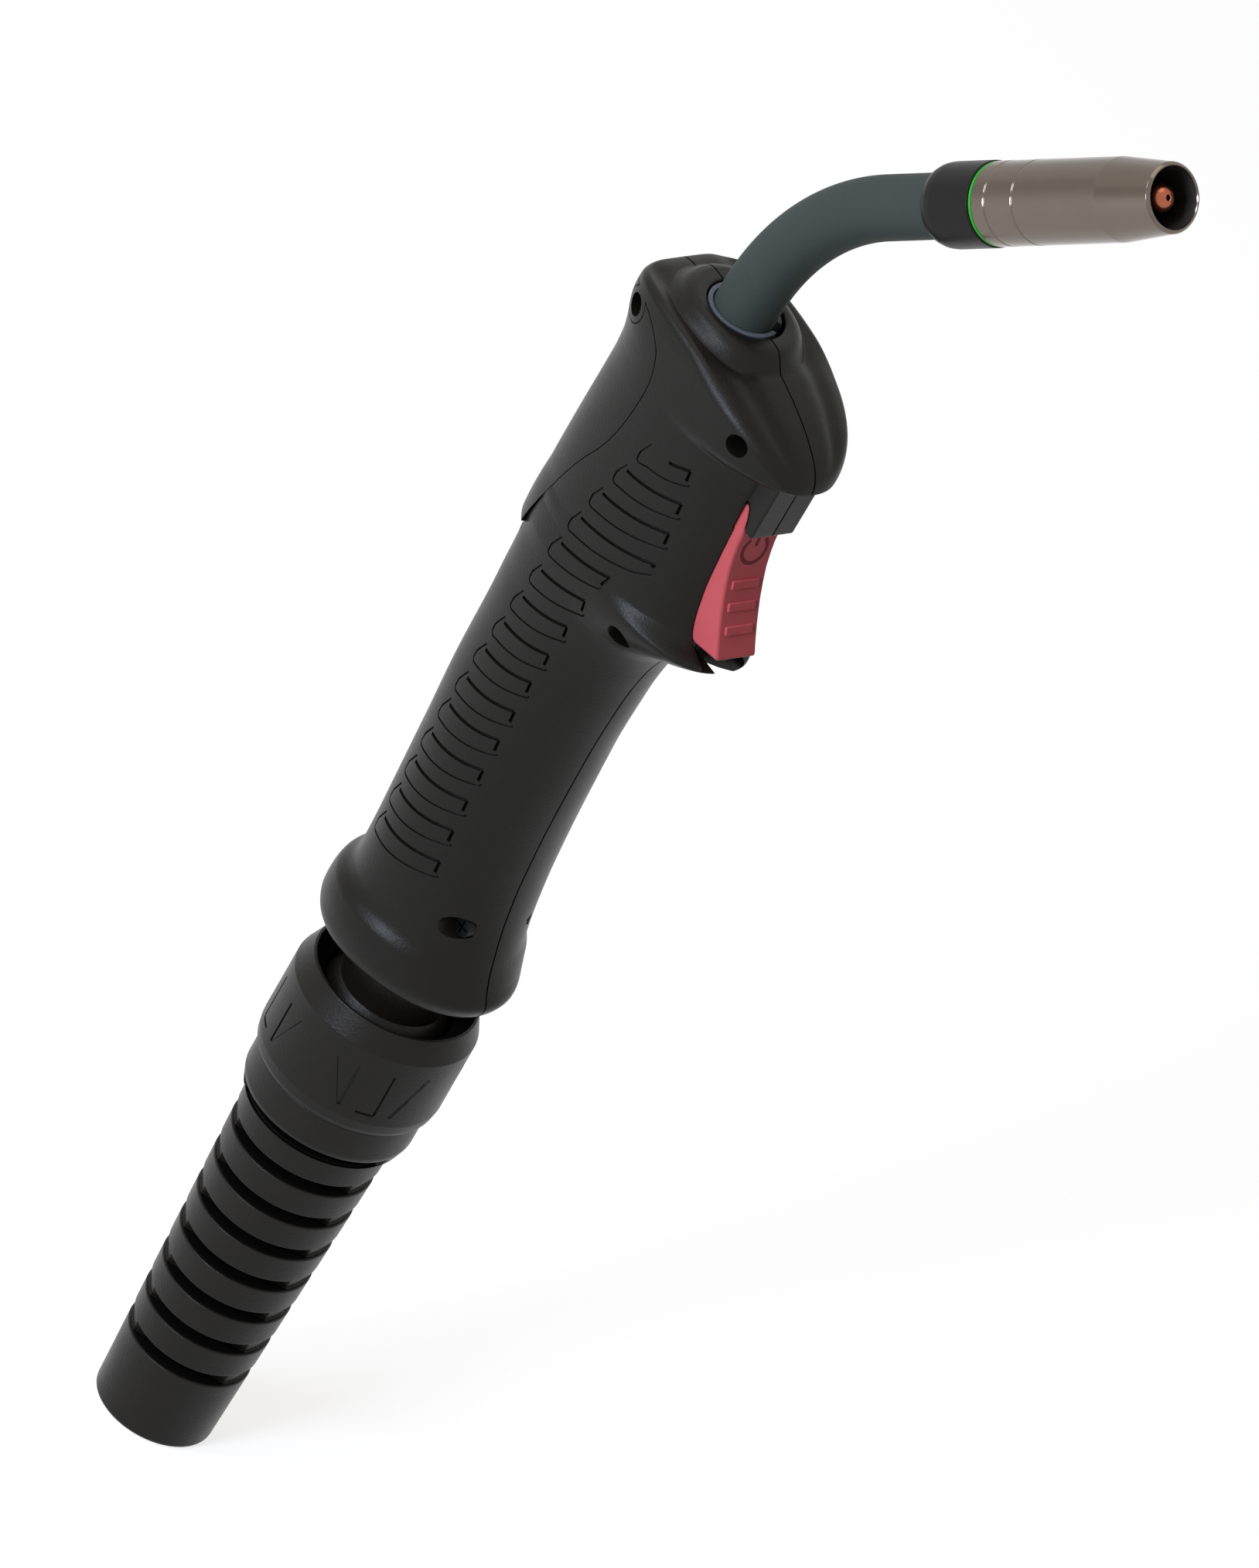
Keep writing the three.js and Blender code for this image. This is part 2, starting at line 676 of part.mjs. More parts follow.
const tipHolder = () => turned([
  [linerOuter + clearance, holderBack], [conductorOuter, holderBack],
  [conductorOuter, sealBack], [holderRadius, sealBack + 1],
  [holderRadius, holderFront - 2], [holderRadius - 0.6, holderFront],
  [2.4 + clearance, holderFront], [2.4 + clearance, holderFront - 8],
  [linerOuter + clearance, holderFront - 8],
], 28);

const contactTip = () => turned([
  [wireBore, tipSeat - 6], [2.4, tipSeat - 6], [2.4, tipSeat], [tipRadius, tipSeat],
  [tipRadius, tipEnd - 6], [tipRadius - 0.5, tipEnd - 1.2], [tipRadius - 1.3, tipEnd - 0.1],
  [wireBore + 0.3, tipEnd], [wireBore, tipEnd - 0.4],
], 28);

// ---------------------------------------------------------------- trigger and switch
const frontEdge = [
  [30, hood.z0 - 1.6], [30.7, hood.z0 - 8.2], [33.3, hood.z0 - 16.3], [36.7, hood.z0 - 23.7],
  [40.6, hood.z0 - 30.6],
];
const triggerBody = () => {
  const { foot, pinX, pinZ, tipZ } = trigger;
  const shape = new THREE.Shape();
  shape.moveTo(24.6, foot);
  shape.lineTo(32.5, foot);
  shape.lineTo(41, foot + 1.9);
  shape.quadraticCurveTo(43, foot + 2.6, 42.4, foot + 4.4);
  shape.splineThru([...frontEdge].reverse().map(([x, z]) => new THREE.Vector2(x, z)));
  shape.lineTo(29.4, hood.z0 + 0.2);
  shape.lineTo(26.7, hood.z0 + 4.9);
  shape.quadraticCurveTo(25.9, tipZ, 24.6, tipZ - 0.2);
  shape.absarc(pinX, pinZ, 3.3, Math.PI / 3.2, Math.PI * 1.02, false);
  shape.lineTo(22, plungerZ);
  shape.closePath();
  const body = sideShape(shape, -triggerHalf, triggerHalf, 6);
  const ribsOut = [8.8, 14.6, 20.4].map((rise) => {
    const z = foot + rise;
    const x = triggerFrontAt(z);
    const bar = new THREE.BoxGeometry(1.6, triggerWidth - 3.4, 2.6);
    bar.rotateY(-triggerLean(z));
    bar.translate(x - 0.15, 0, z);
    return oriented(bar);
  });
  return cut(join(body, ...ribsOut), crossRod(pinX, pinZ, pinRadius + clearance, -20, 20, 16));
};

const triggerFrontAt = (z) => {
  for (let i = 0; i + 1 < frontEdge.length; i += 1) {
    const [[x0, z0], [x1, z1]] = [frontEdge[i], frontEdge[i + 1]];
    if (z <= z0 && z >= z1) return x0 + ((x1 - x0) * (z - z0)) / (z1 - z0);
  }
  const [[x0, z0], [x1, z1]] = frontEdge.slice(-2);
  return x0 + ((x1 - x0) * (z - z0)) / (z1 - z0);
};
const triggerLean = (z) => Math.atan2(triggerFrontAt(z - 1) - triggerFrontAt(z + 1), 2) * -1;

const triggerPin = () => crossRod(trigger.pinX, trigger.pinZ, pinRadius, -10.4, 10.4, 16);

const triggerBackAt = (z) => {
  const share = (z - trigger.foot) / (plungerZ - trigger.foot);
  return 24.6 + (22 - 24.6) * share;
};

const triggerSpring = () => {
  const from = springSeat + clearance;
  const to = triggerBackAt(springZ) - clearance;
  const turns = springTurns;
  const ring = springRadius - springWire;
  class Coil extends THREE.Curve {
    getPoint(t, target = new THREE.Vector3()) {
      const angle = 2 * Math.PI * turns * t;
      const x = from + springWire + (to - from - 2 * springWire) * t;
      return target.set(x, ring * Math.cos(angle), springZ + ring * Math.sin(angle));
    }
  }
  const shape = new THREE.Shape();
  for (let i = 0; i < 6; i += 1) {
    const angle = (Math.PI * i) / 3;
    const [c, s] = [springWire * Math.cos(angle), springWire * Math.sin(angle)];
    if (i) shape.lineTo(c, s);
    else shape.moveTo(c, s);
  }
  shape.closePath();
  return oriented(new THREE.ExtrudeGeometry(shape, {
    steps: turns * 8, extrudePath: new Coil(), bevelEnabled: false,
  }));
};

const microswitch = () => {
  const half = switchSize.y / 2;
  const body = block(switchFace - switchSize.x, switchFace, -half, half, switchBottom, switchTop);
  const depth = plungerSink + plungerTravel + clearance;
  const bore = plungerRadius + clearance;
  const well = new THREE.CylinderGeometry(bore, bore, 2 * depth, 16);
  well.rotateZ(Math.PI / 2);
  well.translate(switchFace, 0, plungerZ);
  const holes = [switchBottom + 4, switchTop - 4].map((z) => crossRod(switchFace - 7, z, 1.2, -9, 9, 12));
  return cut(body, oriented(well), ...holes);
};

const switchPlunger = () => {
  const from = switchFace - plungerSink;
  const length = plungerTip - from;
  const rod = new THREE.CylinderGeometry(plungerRadius, plungerRadius, length, 16);
  rod.rotateZ(Math.PI / 2);
  rod.translate(from + length / 2, 0, plungerZ);
  return oriented(rod);
};

const switchLead = (side) => {
  const x = switchFace - switchSize.x + 1.8;
  const y = side * 1.6;
  const points = [
    [x, y, switchBottom - clearance], [x, y, switchBottom - 8], [x - 3, y * 1.6, switchBottom - 24],
    [x - 6, y * 2.2, 20], [x - 6, y * 2.4, -14], [x - 4, y * 1.8, gripBottom + 6],
    [-1, y * 1.2, gripBottom - 4],
  ].map((p) => new THREE.Vector3(...p));
  const shape = new THREE.Shape();
  for (let i = 0; i < 6; i += 1) {
    const angle = (Math.PI * i) / 3;
    const [c, s] = [leadRadius * Math.cos(angle), leadRadius * Math.sin(angle)];
    if (i) shape.lineTo(c, s);
    else shape.moveTo(c, s);
  }
  shape.closePath();
  return oriented(new THREE.ExtrudeGeometry(shape, {
    steps: 14, extrudePath: new THREE.CatmullRomCurve3(points), bevelEnabled: false,
  }));
};

const screwBody = ({ x, z }) => {
  const head0 = headPlane - clearance - 2.2;
  const body = join(
    crossRod(x, z, screwHeadRadius, head0, headPlane - clearance, 14),
    crossRod(x, z, screwShankRadius, headPlane - clearance - 0.5, 11.5, 8),
  );
  const slot = block(x - 2, x + 2, head0 - 1, head0 + 0.9, z - 0.4, z + 0.4);
  const cross = block(x - 0.4, x + 0.4, head0 - 1, head0 + 0.9, z - 2, z + 2);
  return cut(body, slot, cross);
};

// ---------------------------------------------------------------- ball joint and cable support
const swivelBall = () => {
  const low = -13;
  const from = Math.asin(low / ballRadius);
  const to = Math.acos(stemRadius / ballRadius);
  const sphere = arcPoints(ballRadius, [0, ballZ], from, to, 9);
  return turned([
    [ballBore + 2, ballZ + low], ...sphere,
    [stemRadius, flangeBottom], [stemRadius + 4, flangeBottom], [stemRadius + 4, flangeTop],
    [spigotRadius, flangeTop], [spigotRadius, flangeBottom + 12],
    [ballBore, flangeBottom + 12], [ballBore, ballZ - 4],
  ]);
};

const seatSphere = ballRadius + clearance;
const seatOuter = seatSphere + seatWall;
const ballSeat = () => {
  const half = Math.asin(seatHalfHeight / seatSphere);
  const inside = arcPoints(seatSphere, [0, ballZ], half, -half, 5);
  return turned([
    [seatOuter, ballZ - seatHalfHeight], [seatOuter, ballZ + seatHalfHeight], ...inside,
  ]);
};

const seatMouth = Math.sqrt(seatSphere ** 2 - seatHalfHeight ** 2);
const nutBore = seatOuter + clearance;
const collarNut = () => {
  const lip = ballZ + seatHalfHeight + clearance;
  const body = turned([
    [nutBore, ballZ - collarBottom], [sleeveHeadRadius + 0.5, ballZ - collarBottom],
    [collarRadius - 0.5, ballZ - collarBottom + 1.6], [collarRadius, ballZ - collarBottom + 4.4],
    [collarRadius, ballZ + collarTop - collarCone], [collarMouthRadius, ballZ + collarTop],
    [collarMouthRadius - 0.8, ballZ + collarTop], [collarMouthRadius - 1.2, ballZ + collarTop - 3],
    [seatMouth + 0.2, lip + 2.6], [seatMouth + 0.2, lip], [nutBore, lip],
  ]);
  let rest = body;
  const depth = 0.6;
  for (let i = 0; i < recessCount; i += 1) {
    const slot = new THREE.BoxGeometry(2 * depth, 3, 13);
    slot.translate(collarRadius, 0, ballZ - 2);
    slot.rotateZ((2 * Math.PI * (i + 0.5)) / recessCount);
    rest = cut(rest, oriented(slot));
  }
  return rest;
};

const sleeveRadiusAt = (rise) => {
  const run = sleeveLength - collarBottom - sleeveHeadHeight;
  return sleeveRearRadius + ((sleeveFrontRadius - sleeveRearRadius) * rise) / run;
};

const sleeveSides = 24;
const cableSupport = () => {
  const rear = ballZ - sleeveLength;
  const headStart = ballZ - collarBottom - sleeveHeadHeight;
  const spigotTop = ballZ - seatHalfHeight - clearance;
  const rise = headStart - rear;
  const body = turned([
    [sleeveRearRadius - sleeveWall, rear], [sleeveRearRadius - 1, rear],
    [sleeveRearRadius - 0.3, rear + 0.35], [sleeveRadiusAt(1.2), rear + 1.2],
    [sleeveRadiusAt(rise), headStart], [sleeveHeadRadius - 1.6, headStart + 1.6],
    [sleeveHeadRadius - 0.7, headStart + 5], [sleeveHeadRadius, ballZ - collarBottom - clearance],
    [seatOuter, ballZ - collarBottom - clearance], [seatOuter, spigotTop],
    [seatMouth, spigotTop], [seatMouth, spigotTop - 4],
    [sleeveRadiusAt(rise) - sleeveWall, spigotTop - 11],
    [sleeveRadiusAt(rise) - sleeveWall, headStart],
  ], sleeveSides);
  let rest = body;
  for (let i = 0; i < grooveCount; i += 1) {
    const bottom = rearBand + i * groovePitch;
    const radius = sleeveRadiusAt(bottom + grooveWidth / 2);
    rest = cut(rest, grooveRing(radius, rear + bottom), ...slotPair(radius, rear + bottom));
  }
  return rest;
};

const grooveRing = (radius, z) => turned([
  [radius - grooveDepth, z], [radius + 3, z], [radius + 3, z + grooveWidth],
  [radius - grooveDepth, z + grooveWidth],
], sleeveSides);

const slotPair = (radius, z) => [0, Math.PI].map((turn) => {
  const from = bridgeCentre + bridgeAngle + turn;
  const to = bridgeCentre + Math.PI - bridgeAngle + turn;
  const steps = 4;
  const points = [
    ...arcPoints(radius + 4, [0, 0], from, to, steps),
    ...arcPoints(radius - sleeveWall - 2, [0, 0], to, from, steps),
  ].map(([x, y]) => new THREE.Vector2(x, y));
  const sector = new THREE.ExtrudeGeometry(new THREE.Shape(points), { depth: grooveWidth, bevelEnabled: false });
  sector.translate(0, 0, z);
  return oriented(sector);
});

// ---------------------------------------------------------------- the torch
const finish = (color, roughness, metalness = 0) => new THREE.MeshStandardMaterial({ color, roughness, metalness });
const finishes = {
  plastic: () => finish(0x1b1a19, 0.5),
  rubber: () => finish(0x434a45, 0.7),
  nickel: () => finish(0x9a9288, 0.15, 1),
  copper: () => finish(0x9c5236, 0.3, 1),
  brass: () => finish(0xb08d4a, 0.35, 1),
  steel: () => finish(0x8d8f92, 0.35, 1),
  grey: () => finish(0x6d7178, 0.55),
  green: () => finish(0x08c80c, 0.5),
  red: () => finish(0xb8474a, 0.5),
  white: () => finish(0xd8d2c4, 0.6),
};

const torch = new THREE.Group();
const frontEnd = new THREE.Group();
const bendX = neckOffset + neckBendRadius * (1 - Math.cos(neckBendAngle));
const bendZ = neckBendStart + neckBendRadius * Math.sin(neckBendAngle);
frontEnd.position.set(bendX, 0, bendZ);
frontEnd.rotation.y = neckBendAngle;
torch.add(frontEnd);

const add = (name, solid, material, parent = torch) => {
  const mesh = new THREE.Mesh(toGeometry(solid), material);
  mesh.name = name;
  parent.add(mesh);
};

for (const [name, side] of Object.entries(halves)) {
  add(`handle_shell_${name}`, shellHalf(side), finishes.plastic());
}
add('back_cover', backCover(), finishes.plastic());
for (const screw of screws) add(screw.name, screwBody(screw), finishes.steel());

add('trigger', triggerBody(), finishes.red());
add('trigger_pin', triggerPin(), finishes.steel());
add('trigger_spring', triggerSpring(), finishes.steel());
add('microswitch', microswitch(), finishes.grey());
add('switch_plunger', switchPlunger(), finishes.red());
add('switch_lead_left', switchLead(-1), finishes.white());
add('switch_lead_right', switchLead(1), finishes.white());

const neckStart = neckBendStart - receiverTop;
const reach = (depth) => neckStart + depth;
add('neck_bush', neckBush(), finishes.grey());
add('neck_receiver', receiver(), finishes.brass());
add('neck_jacket', neckLayer(neckRadius, jacketInner, reach(-clearance), jacketEnd, 24, 10), finishes.rubber());
add('neck_insulation', neckLayer(insulationOuter, insulationInner, reach(14), jacketEnd - 1, 12, 8), finishes.white());
add('neck_conductor', neckLayer(conductorOuter, conductorInner, reach(20), conductorEnd, 12, 8), finishes.copper());
add('wire_liner', neckLayer(linerOuter, linerBore, reach(34), holderFront - 9, 8, 8), finishes.steel());

add('nozzle_cup', cup(), finishes.plastic(), frontEnd);
add('seal_ring', sealRing(), finishes.green(), frontEnd);
add('gas_nozzle', nozzle(), finishes.nickel(), frontEnd);
add('gas_diffuser', gasDiffuser(), finishes.white(), frontEnd);
add('nozzle_spring', nozzleSpring(), finishes.steel(), frontEnd);
add('tip_holder', tipHolder(), finishes.brass(), frontEnd);
add('contact_tip', contactTip(), finishes.copper(), frontEnd);

add('swivel_ball', swivelBall(), finishes.plastic());
add('ball_seat', ballSeat(), finishes.plastic());
add('collar_nut', collarNut(), finishes.plastic());
add('cable_support', cableSupport(), finishes.plastic());

export default torch;
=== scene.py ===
"""Studio picture of a MIG welding torch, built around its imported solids.

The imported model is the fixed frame. Every visible sub-assembly is a class here that holds its sizes in millimetres,
builds its meshes with bmesh operators and dresses them with procedural materials.
"""

import logging
import math
from dataclasses import dataclass, field
from enum import Enum
from typing import Callable, Iterable, Sequence

import bmesh
import bpy
import numpy as np
from mathutils import Matrix, Vector


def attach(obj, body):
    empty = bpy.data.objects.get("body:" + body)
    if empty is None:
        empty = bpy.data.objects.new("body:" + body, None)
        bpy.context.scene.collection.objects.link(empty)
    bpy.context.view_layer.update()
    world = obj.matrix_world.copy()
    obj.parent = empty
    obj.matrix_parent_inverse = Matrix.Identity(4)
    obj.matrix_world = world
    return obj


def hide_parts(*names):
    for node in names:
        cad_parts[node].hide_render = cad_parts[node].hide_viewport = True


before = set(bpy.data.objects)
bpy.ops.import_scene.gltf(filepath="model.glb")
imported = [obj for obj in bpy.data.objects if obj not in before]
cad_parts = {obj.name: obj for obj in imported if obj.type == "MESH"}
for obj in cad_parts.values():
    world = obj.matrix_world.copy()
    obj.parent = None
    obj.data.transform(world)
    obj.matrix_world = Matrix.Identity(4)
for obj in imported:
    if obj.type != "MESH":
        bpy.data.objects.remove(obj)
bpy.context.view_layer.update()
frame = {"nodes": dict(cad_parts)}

MM = 0.001
TAU = 2 * math.pi
WHITE = (1.0, 1.0, 1.0, 1.0)
LOG = logging.getLogger("torch")
Mesh = bmesh.types.BMesh
Thing = bpy.types.Object
Tree = bpy.types.NodeTree
Node = bpy.types.Node
Socket = bpy.types.NodeSocket
Profile = Sequence[tuple[float, ...]]
Outline = list[tuple[float, float]]
Spot = tuple[float, float]


class Body(Enum):
    """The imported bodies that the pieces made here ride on."""

    HANDLE = "handle"
    TRIGGER = "trigger"
    NOZZLE = "nozzle"
    BALL = "ball"
    CABLE_END = "cable_end"


class Slot(Enum):
    """The record's material slots, named in each piece's fitting; the script gives no piece its slot."""

    BLACK = "black_plastic"
    JACKET = "jacket"
    NICKEL = "nickel"
    COPPER = "copper"
    GREY = "grey_plastic"
    GREEN = "green_seal"
    RED = "red_plastic"


class Cut(Enum):
    """What a boolean does with its tool."""

    TAKE = "DIFFERENCE"
    KEEP = "INTERSECT"
    JOIN = "UNION"


# ---------------------------------------------------------------- finishes
def linear(code: str) -> tuple[float, float, float, float]:
    """Turns an sRGB hex colour to linear light.

    Args:
        code: the colour as "#rrggbb".

    Returns:
        Red, green, blue and an alpha of 1.
    """
    parts = [int(code[i : i + 2], 16) / 255 for i in (1, 3, 5)]
    turned = [c / 12.92 if c <= 0.04045 else ((c + 0.055) / 1.055) ** 2.4 for c in parts]
    return (*turned, 1.0)


def add_node(tree: Tree, kind: str, links: dict | None = None, **settings: object) -> Node:
    """Adds one node with its settings and what goes into its sockets.

    Args:
        tree: the node tree.
        kind: the node's type name, without ShaderNode.
        links: socket name or index to a value, to the socket that feeds it or to the node whose first output does.
        settings: the node's own properties.

    Returns:
        The new node.
    """
    node = tree.nodes.new("ShaderNode" + kind)
    for name, value in settings.items():
        setattr(node, name, value)
    for key, value in (links or {}).items():
        if isinstance(value, Node):
            value = value.outputs[0]
        if isinstance(value, Socket):
            tree.links.new(value, node.inputs[key])
        else:
            node.inputs[key].default_value = value
    return node


def emptied(owner: bpy.types.Material | bpy.types.World) -> Tree:
    """Gives a material or a world an empty node tree.

    Args:
        owner: the material or the world.

    Returns:
        The tree.
    """
    owner.use_nodes = True
    owner.node_tree.nodes.clear()
    return owner.node_tree


@dataclass(frozen=True)
class Finish:
    """What every finish has: its colour, the colour of its uneven places, its gloss and its grain.

    The pattern sizes are in millimetres, on Object coordinates.
    """

    name: str
    colour: str
    patch: str  # colour of the uneven places
    roughness: float
    swing: float  # how far the roughness moves between patches
    patch_size: float
    grain_size: float
    grain_height: float
    metallic: float = 0.0
    specular: float = 0.5
    edge: float = 0.0  # radius that the light sees on sharp edges
    coat: float = 0.0
    sheen: float = 0.0
    pits: float = 0.0  # height of the coarse pits

    def noise(self, tree: Tree, points: Node, size: float, detail: float, rough: float) -> Node:
        """Adds a noise whose bumps have a size in millimetres."""
        return add_node(tree, "TexNoise", {"Vector": points, "Scale": 1 / size, "Detail": detail, "Roughness": rough})

    def heights(self, tree: Tree, points: Node) -> Node:
        """Gives the surface's small heights in millimetres.

        Args:
            tree: the material's node tree.
            points: gives the place of the point in millimetres.

        Returns:
            The node with the height.
        """
        grain = self.noise(tree, points, self.grain_size, 3.0, 0.6)
        fine = add_node(tree, "Math", {0: grain, 1: self.grain_height}, operation="MULTIPLY")
        if not self.pits:
            return fine
        wires = {"Vector": points, "Scale": 0.6 / self.grain_size, "Smoothness": 0.6}
        cells = add_node(tree, "TexVoronoi", wires, feature="SMOOTH_F1")
        return add_node(tree, "Math", {0: cells, 1: self.pits, 2: fine}, operation="MULTIPLY_ADD")

    def material(self) -> bpy.types.Material:
        """Builds the material, or finds it when it is there already.

        Returns:
            The material.
        """
        found = bpy.data.materials.get(self.name)
        if found:
            return found
        made = bpy.data.materials.new(self.name)
        made.use_nodes = True
        tree = made.node_tree
        shader = tree.nodes["Principled BSDF"]
        place = add_node(tree, "TexCoord").outputs["Object"]
        points = add_node(tree, "Mapping", {"Vector": place, "Scale": (1 / MM, 1 / MM, 1 / MM)})
        patches = self.noise(tree, points, self.patch_size, 4.0, 0.55)
        tones = {"Factor": patches, 6: linear(self.colour), 7: linear(self.patch)}
        colour = add_node(tree, "Mix", tones, data_type="RGBA")
        low, high = self.roughness - self.swing, self.roughness + self.swing
        span = {"Value": patches, "From Min": 0.3, "From Max": 0.7, "To Min": low, "To Max": high}
        wires = {"Height": self.heights(tree, points), "Distance": MM, "Strength": 1.0}
        if self.edge:
            wires["Normal"] = add_node(tree, "Bevel", {"Radius": self.edge * MM}, samples=6)
        values = (self.metallic, self.coat, self.sheen, self.specular)
        for name, value in zip(("Metallic", "Coat Weight", "Sheen Weight", "Specular IOR Level"), values):
            shader.inputs[name].default_value = value
        tree.links.new(colour.outputs[2], shader.inputs["Base Color"])
        tree.links.new(add_node(tree, "MapRange", span).outputs[0], shader.inputs["Roughness"])
        tree.links.new(add_node(tree, "Bump", wires).outputs[0], shader.inputs["Normal"])
        made.diffuse_color = linear(self.colour)
        return made


@dataclass(frozen=True)
class TurnedFinish(Finish):
    """A finish with fine lathe lines round one axis."""

    line: float = 0.35  # spacing of the lines
    tilt: float = 0.0  # the axis, turned from +Z towards +X
    stretch: float = 0.02  # how much slower the lines change across the axis
    share: float = 0.8  # height of the lines, as a share of the grain's

    def heights(self, tree: Tree, points: Node) -> Node:
        """Adds the lathe lines to the grain.

        Args:
            tree: the material's node tree.
            points: gives the place of the point in millimetres.

        Returns:
            The node with the height.
        """
        grain = super().heights(tree, points)
        turn = {"Vector": points, "Angle": -self.tilt, "Axis": (0, 1, 0)}
        along = add_node(tree, "VectorRotate", turn, rotation_type="AXIS_ANGLE")
        wires = {0: along, 1: (self.stretch, self.stretch, 1.0)}
        lines = self.noise(tree, add_node(tree, "VectorMath", wires, operation="MULTIPLY"), self.line, 3.0, 0.7)
        wires = {0: lines, 1: self.grain_height * self.share, 2: grain}
        return add_node(tree, "Math", wires, operation="MULTIPLY_ADD")


# ABS, moulded in a spark-eroded tool: nearly black, with a fine sandy grain that breaks up every highlight.
SHELL_ABS = Finish(
    "ABS_moulded_spark_grain", "#181612", "#1c1a15", 0.34, 0.03, 14.0, 0.42, 0.06,
    specular=0.17, edge=0.2, pits=0.03,
)
# PA66, glass filled: the same black, a little drier and browner, on the cable end.
NYLON = Finish(
    "PA66_glass_filled_moulded", "#181511", "#1c1914", 0.35, 0.04, 9.0, 0.5, 0.06,
    specular=0.19, edge=0.2, pits=0.032,
)
# Painted shade for the sleeve's bore and saw cuts, the collar's inside and the ball's seat: the same PA66, made darker,
# rough and nearly without gloss, so that these hollows look dark.
NYLON_PAINTED_SHADE = Finish("PA66_painted_shade", "#0c0b0a", "#100f0d", 0.85, 0.05, 9.0, 0.6, 0.04, specular=0.02)
# Phenolic moulding on the nozzle's insulator: harder and glossier, with a few bright specks.
PHENOLIC = Finish(
    "phenolic_moulded", "#211f1d", "#272421", 0.34, 0.05, 6.0, 0.5, 0.014, specular=0.09, edge=0.2, pits=0.01,
)
# Silicone rubber sleeve, extruded: matt grey-green with a skin as fine as paper.
JACKET = Finish(
    "silicone_rubber_extruded", "#3f4541", "#454b47", 0.62, 0.05, 10.0, 0.45, 0.06,
    specular=0.08, sheen=0.02, pits=0.05,
)
# PA6 moulding, light grey: satin, with a fine grain.
BUSH_PA = Finish("PA6_grey_moulded", "#5c6064", "#666a6e", 0.5, 0.06, 5.0, 0.3, 0.012, specular=0.12, edge=0.15)
# ABS, dyed red: satin, with a softer grain than the shells.
TRIGGER_ABS = Finish(
    "ABS_red_moulded", "#ca585b", "#d15f61", 0.4, 0.04, 7.0, 0.35, 0.007, specular=0.12, edge=0.15, pits=0.004,
)
# The on and off sign on the trigger: the same ABS in the red's shaded tone, as painted shade of an engraved sign.
TRIGGER_SIGN_SHADE = Finish("ABS_red_painted_shade", "#742e30", "#7d3436", 0.5, 0.05, 2.0, 0.3, 0.006, specular=0.08)
# EPDM sealing ring: saturated green, slightly greasy.
SEAL = Finish("EPDM_green_moulded", "#0aa010", "#0db216", 0.42, 0.05, 4.0, 0.3, 0.004, specular=0.45)
# Nickel-plated brass, polished: warm grey, mirror-like, with faint lathe lines under the plate.
NICKEL = TurnedFinish(
    "nickel_plate_polished", "#6a6157", "#746a60", 0.15, 0.03, 12.0, 1.2, 0.0008,
    metallic=1.0, edge=0.12, line=0.3, tilt=math.pi / 4,
)
# Painted shade for the inside of the nozzle: the same plate, made darker and duller.
NICKEL_PAINTED_SHADE = TurnedFinish(
    "nickel_plate_painted_shade", "#3c3936", "#4b4743", 0.5, 0.08, 6.0, 0.6, 0.006,
    metallic=0.7, line=0.4, tilt=math.pi / 4,
)
# E-Cu58 contact tip, turned: red copper with bright tool marks.
COPPER = TurnedFinish(
    "copper_turned", "#b06a50", "#9c553d", 0.26, 0.07, 2.2, 0.5, 0.006,
    metallic=1.0, edge=0.1, line=0.25, tilt=math.pi / 4,
)
# CuZn39 brass, turned.
BRASS = TurnedFinish("brass_turned", "#b08d4a", "#a37f3e", 0.3, 0.06, 3.0, 0.5, 0.004, metallic=1.0, line=0.3)
# Zinc-plated steel: cool grey, slightly cloudy.
ZINC = Finish("steel_zinc_plated", "#6d6f72", "#5f6266", 0.33, 0.08, 2.5, 0.25, 0.003, metallic=1.0, edge=0.08)
# Black-oxide steel screws: dark, oily, with a dull gleam.
BLACK_OXIDE = Finish("steel_black_oxide", "#101112", "#18191a", 0.5, 0.08, 2.0, 0.25, 0.004, metallic=0.8, edge=0.08)
# PBT switch housing: dull blue-grey.
SWITCH_PBT = Finish("PBT_moulded", "#5b6067", "#666b72", 0.55, 0.05, 3.0, 0.3, 0.006, specular=0.4, edge=0.12)
# PTFE and PVC insulation: milky, waxy.
MILKY = Finish("PTFE_extruded", "#d2ccbe", "#ddd8cc", 0.5, 0.06, 4.0, 0.4, 0.004, specular=0.4, coat=0.1)


# ---------------------------------------------------------------- mesh helpers
def outward(bm: Mesh) -> Mesh:
    """Turns the faces of a closed mesh outwards."""
    bmesh.ops.recalc_face_normals(bm, faces=bm.faces)
    return bm


def bevel(bm: Mesh, edges: Iterable[bmesh.types.BMEdge], offset: float, segments: int, clamp: bool = True) -> None:
    """Rounds some edges of a mesh.

    Args:
        bm: the mesh.
        edges: the edges.
        offset: how far the rounding reaches.
        segments: how many steps it has.
        clamp: keeps roundings from meeting.
    """
    bmesh.ops.bevel(
        bm, geom=list(edges), offset=offset, segments=segments, profile=0.5, affect="EDGES", material=-1,
        clamp_overlap=clamp,
    )


def shifted(bm: Mesh, *vec: float) -> Mesh:
    """Moves a mesh along x, y and z."""
    bmesh.ops.translate(bm, verts=bm.verts, vec=vec)
    return bm


def spun(bm: Mesh, angle: float) -> Mesh:
    """Turns a mesh about the Z axis."""
    bmesh.ops.rotate(bm, verts=bm.verts, cent=(0, 0, 0), matrix=Matrix.Rotation(angle, 3, "Z"))
    return bm


def outline_mesh(points: Sequence[Sequence[float]], y0: float, y1: float) -> Mesh:
    """Pushes a side outline through the torch.

    Args:
        points: the outline as [x, z].
        y0: where it starts across the torch.
        y1: where it ends.

    Returns:
        The closed prism.
    """
    bm = bmesh.new()
    face = bm.faces.new([bm.verts.new((x, y0, z)) for x, z in points])
    moved = bmesh.ops.extrude_face_region(bm, geom=[face])["geom"]
    ends = [v for v in moved if isinstance(v, bmesh.types.BMVert)]
    bmesh.ops.translate(bm, verts=ends, vec=(0, y1 - y0, 0))
    return outward(bm)


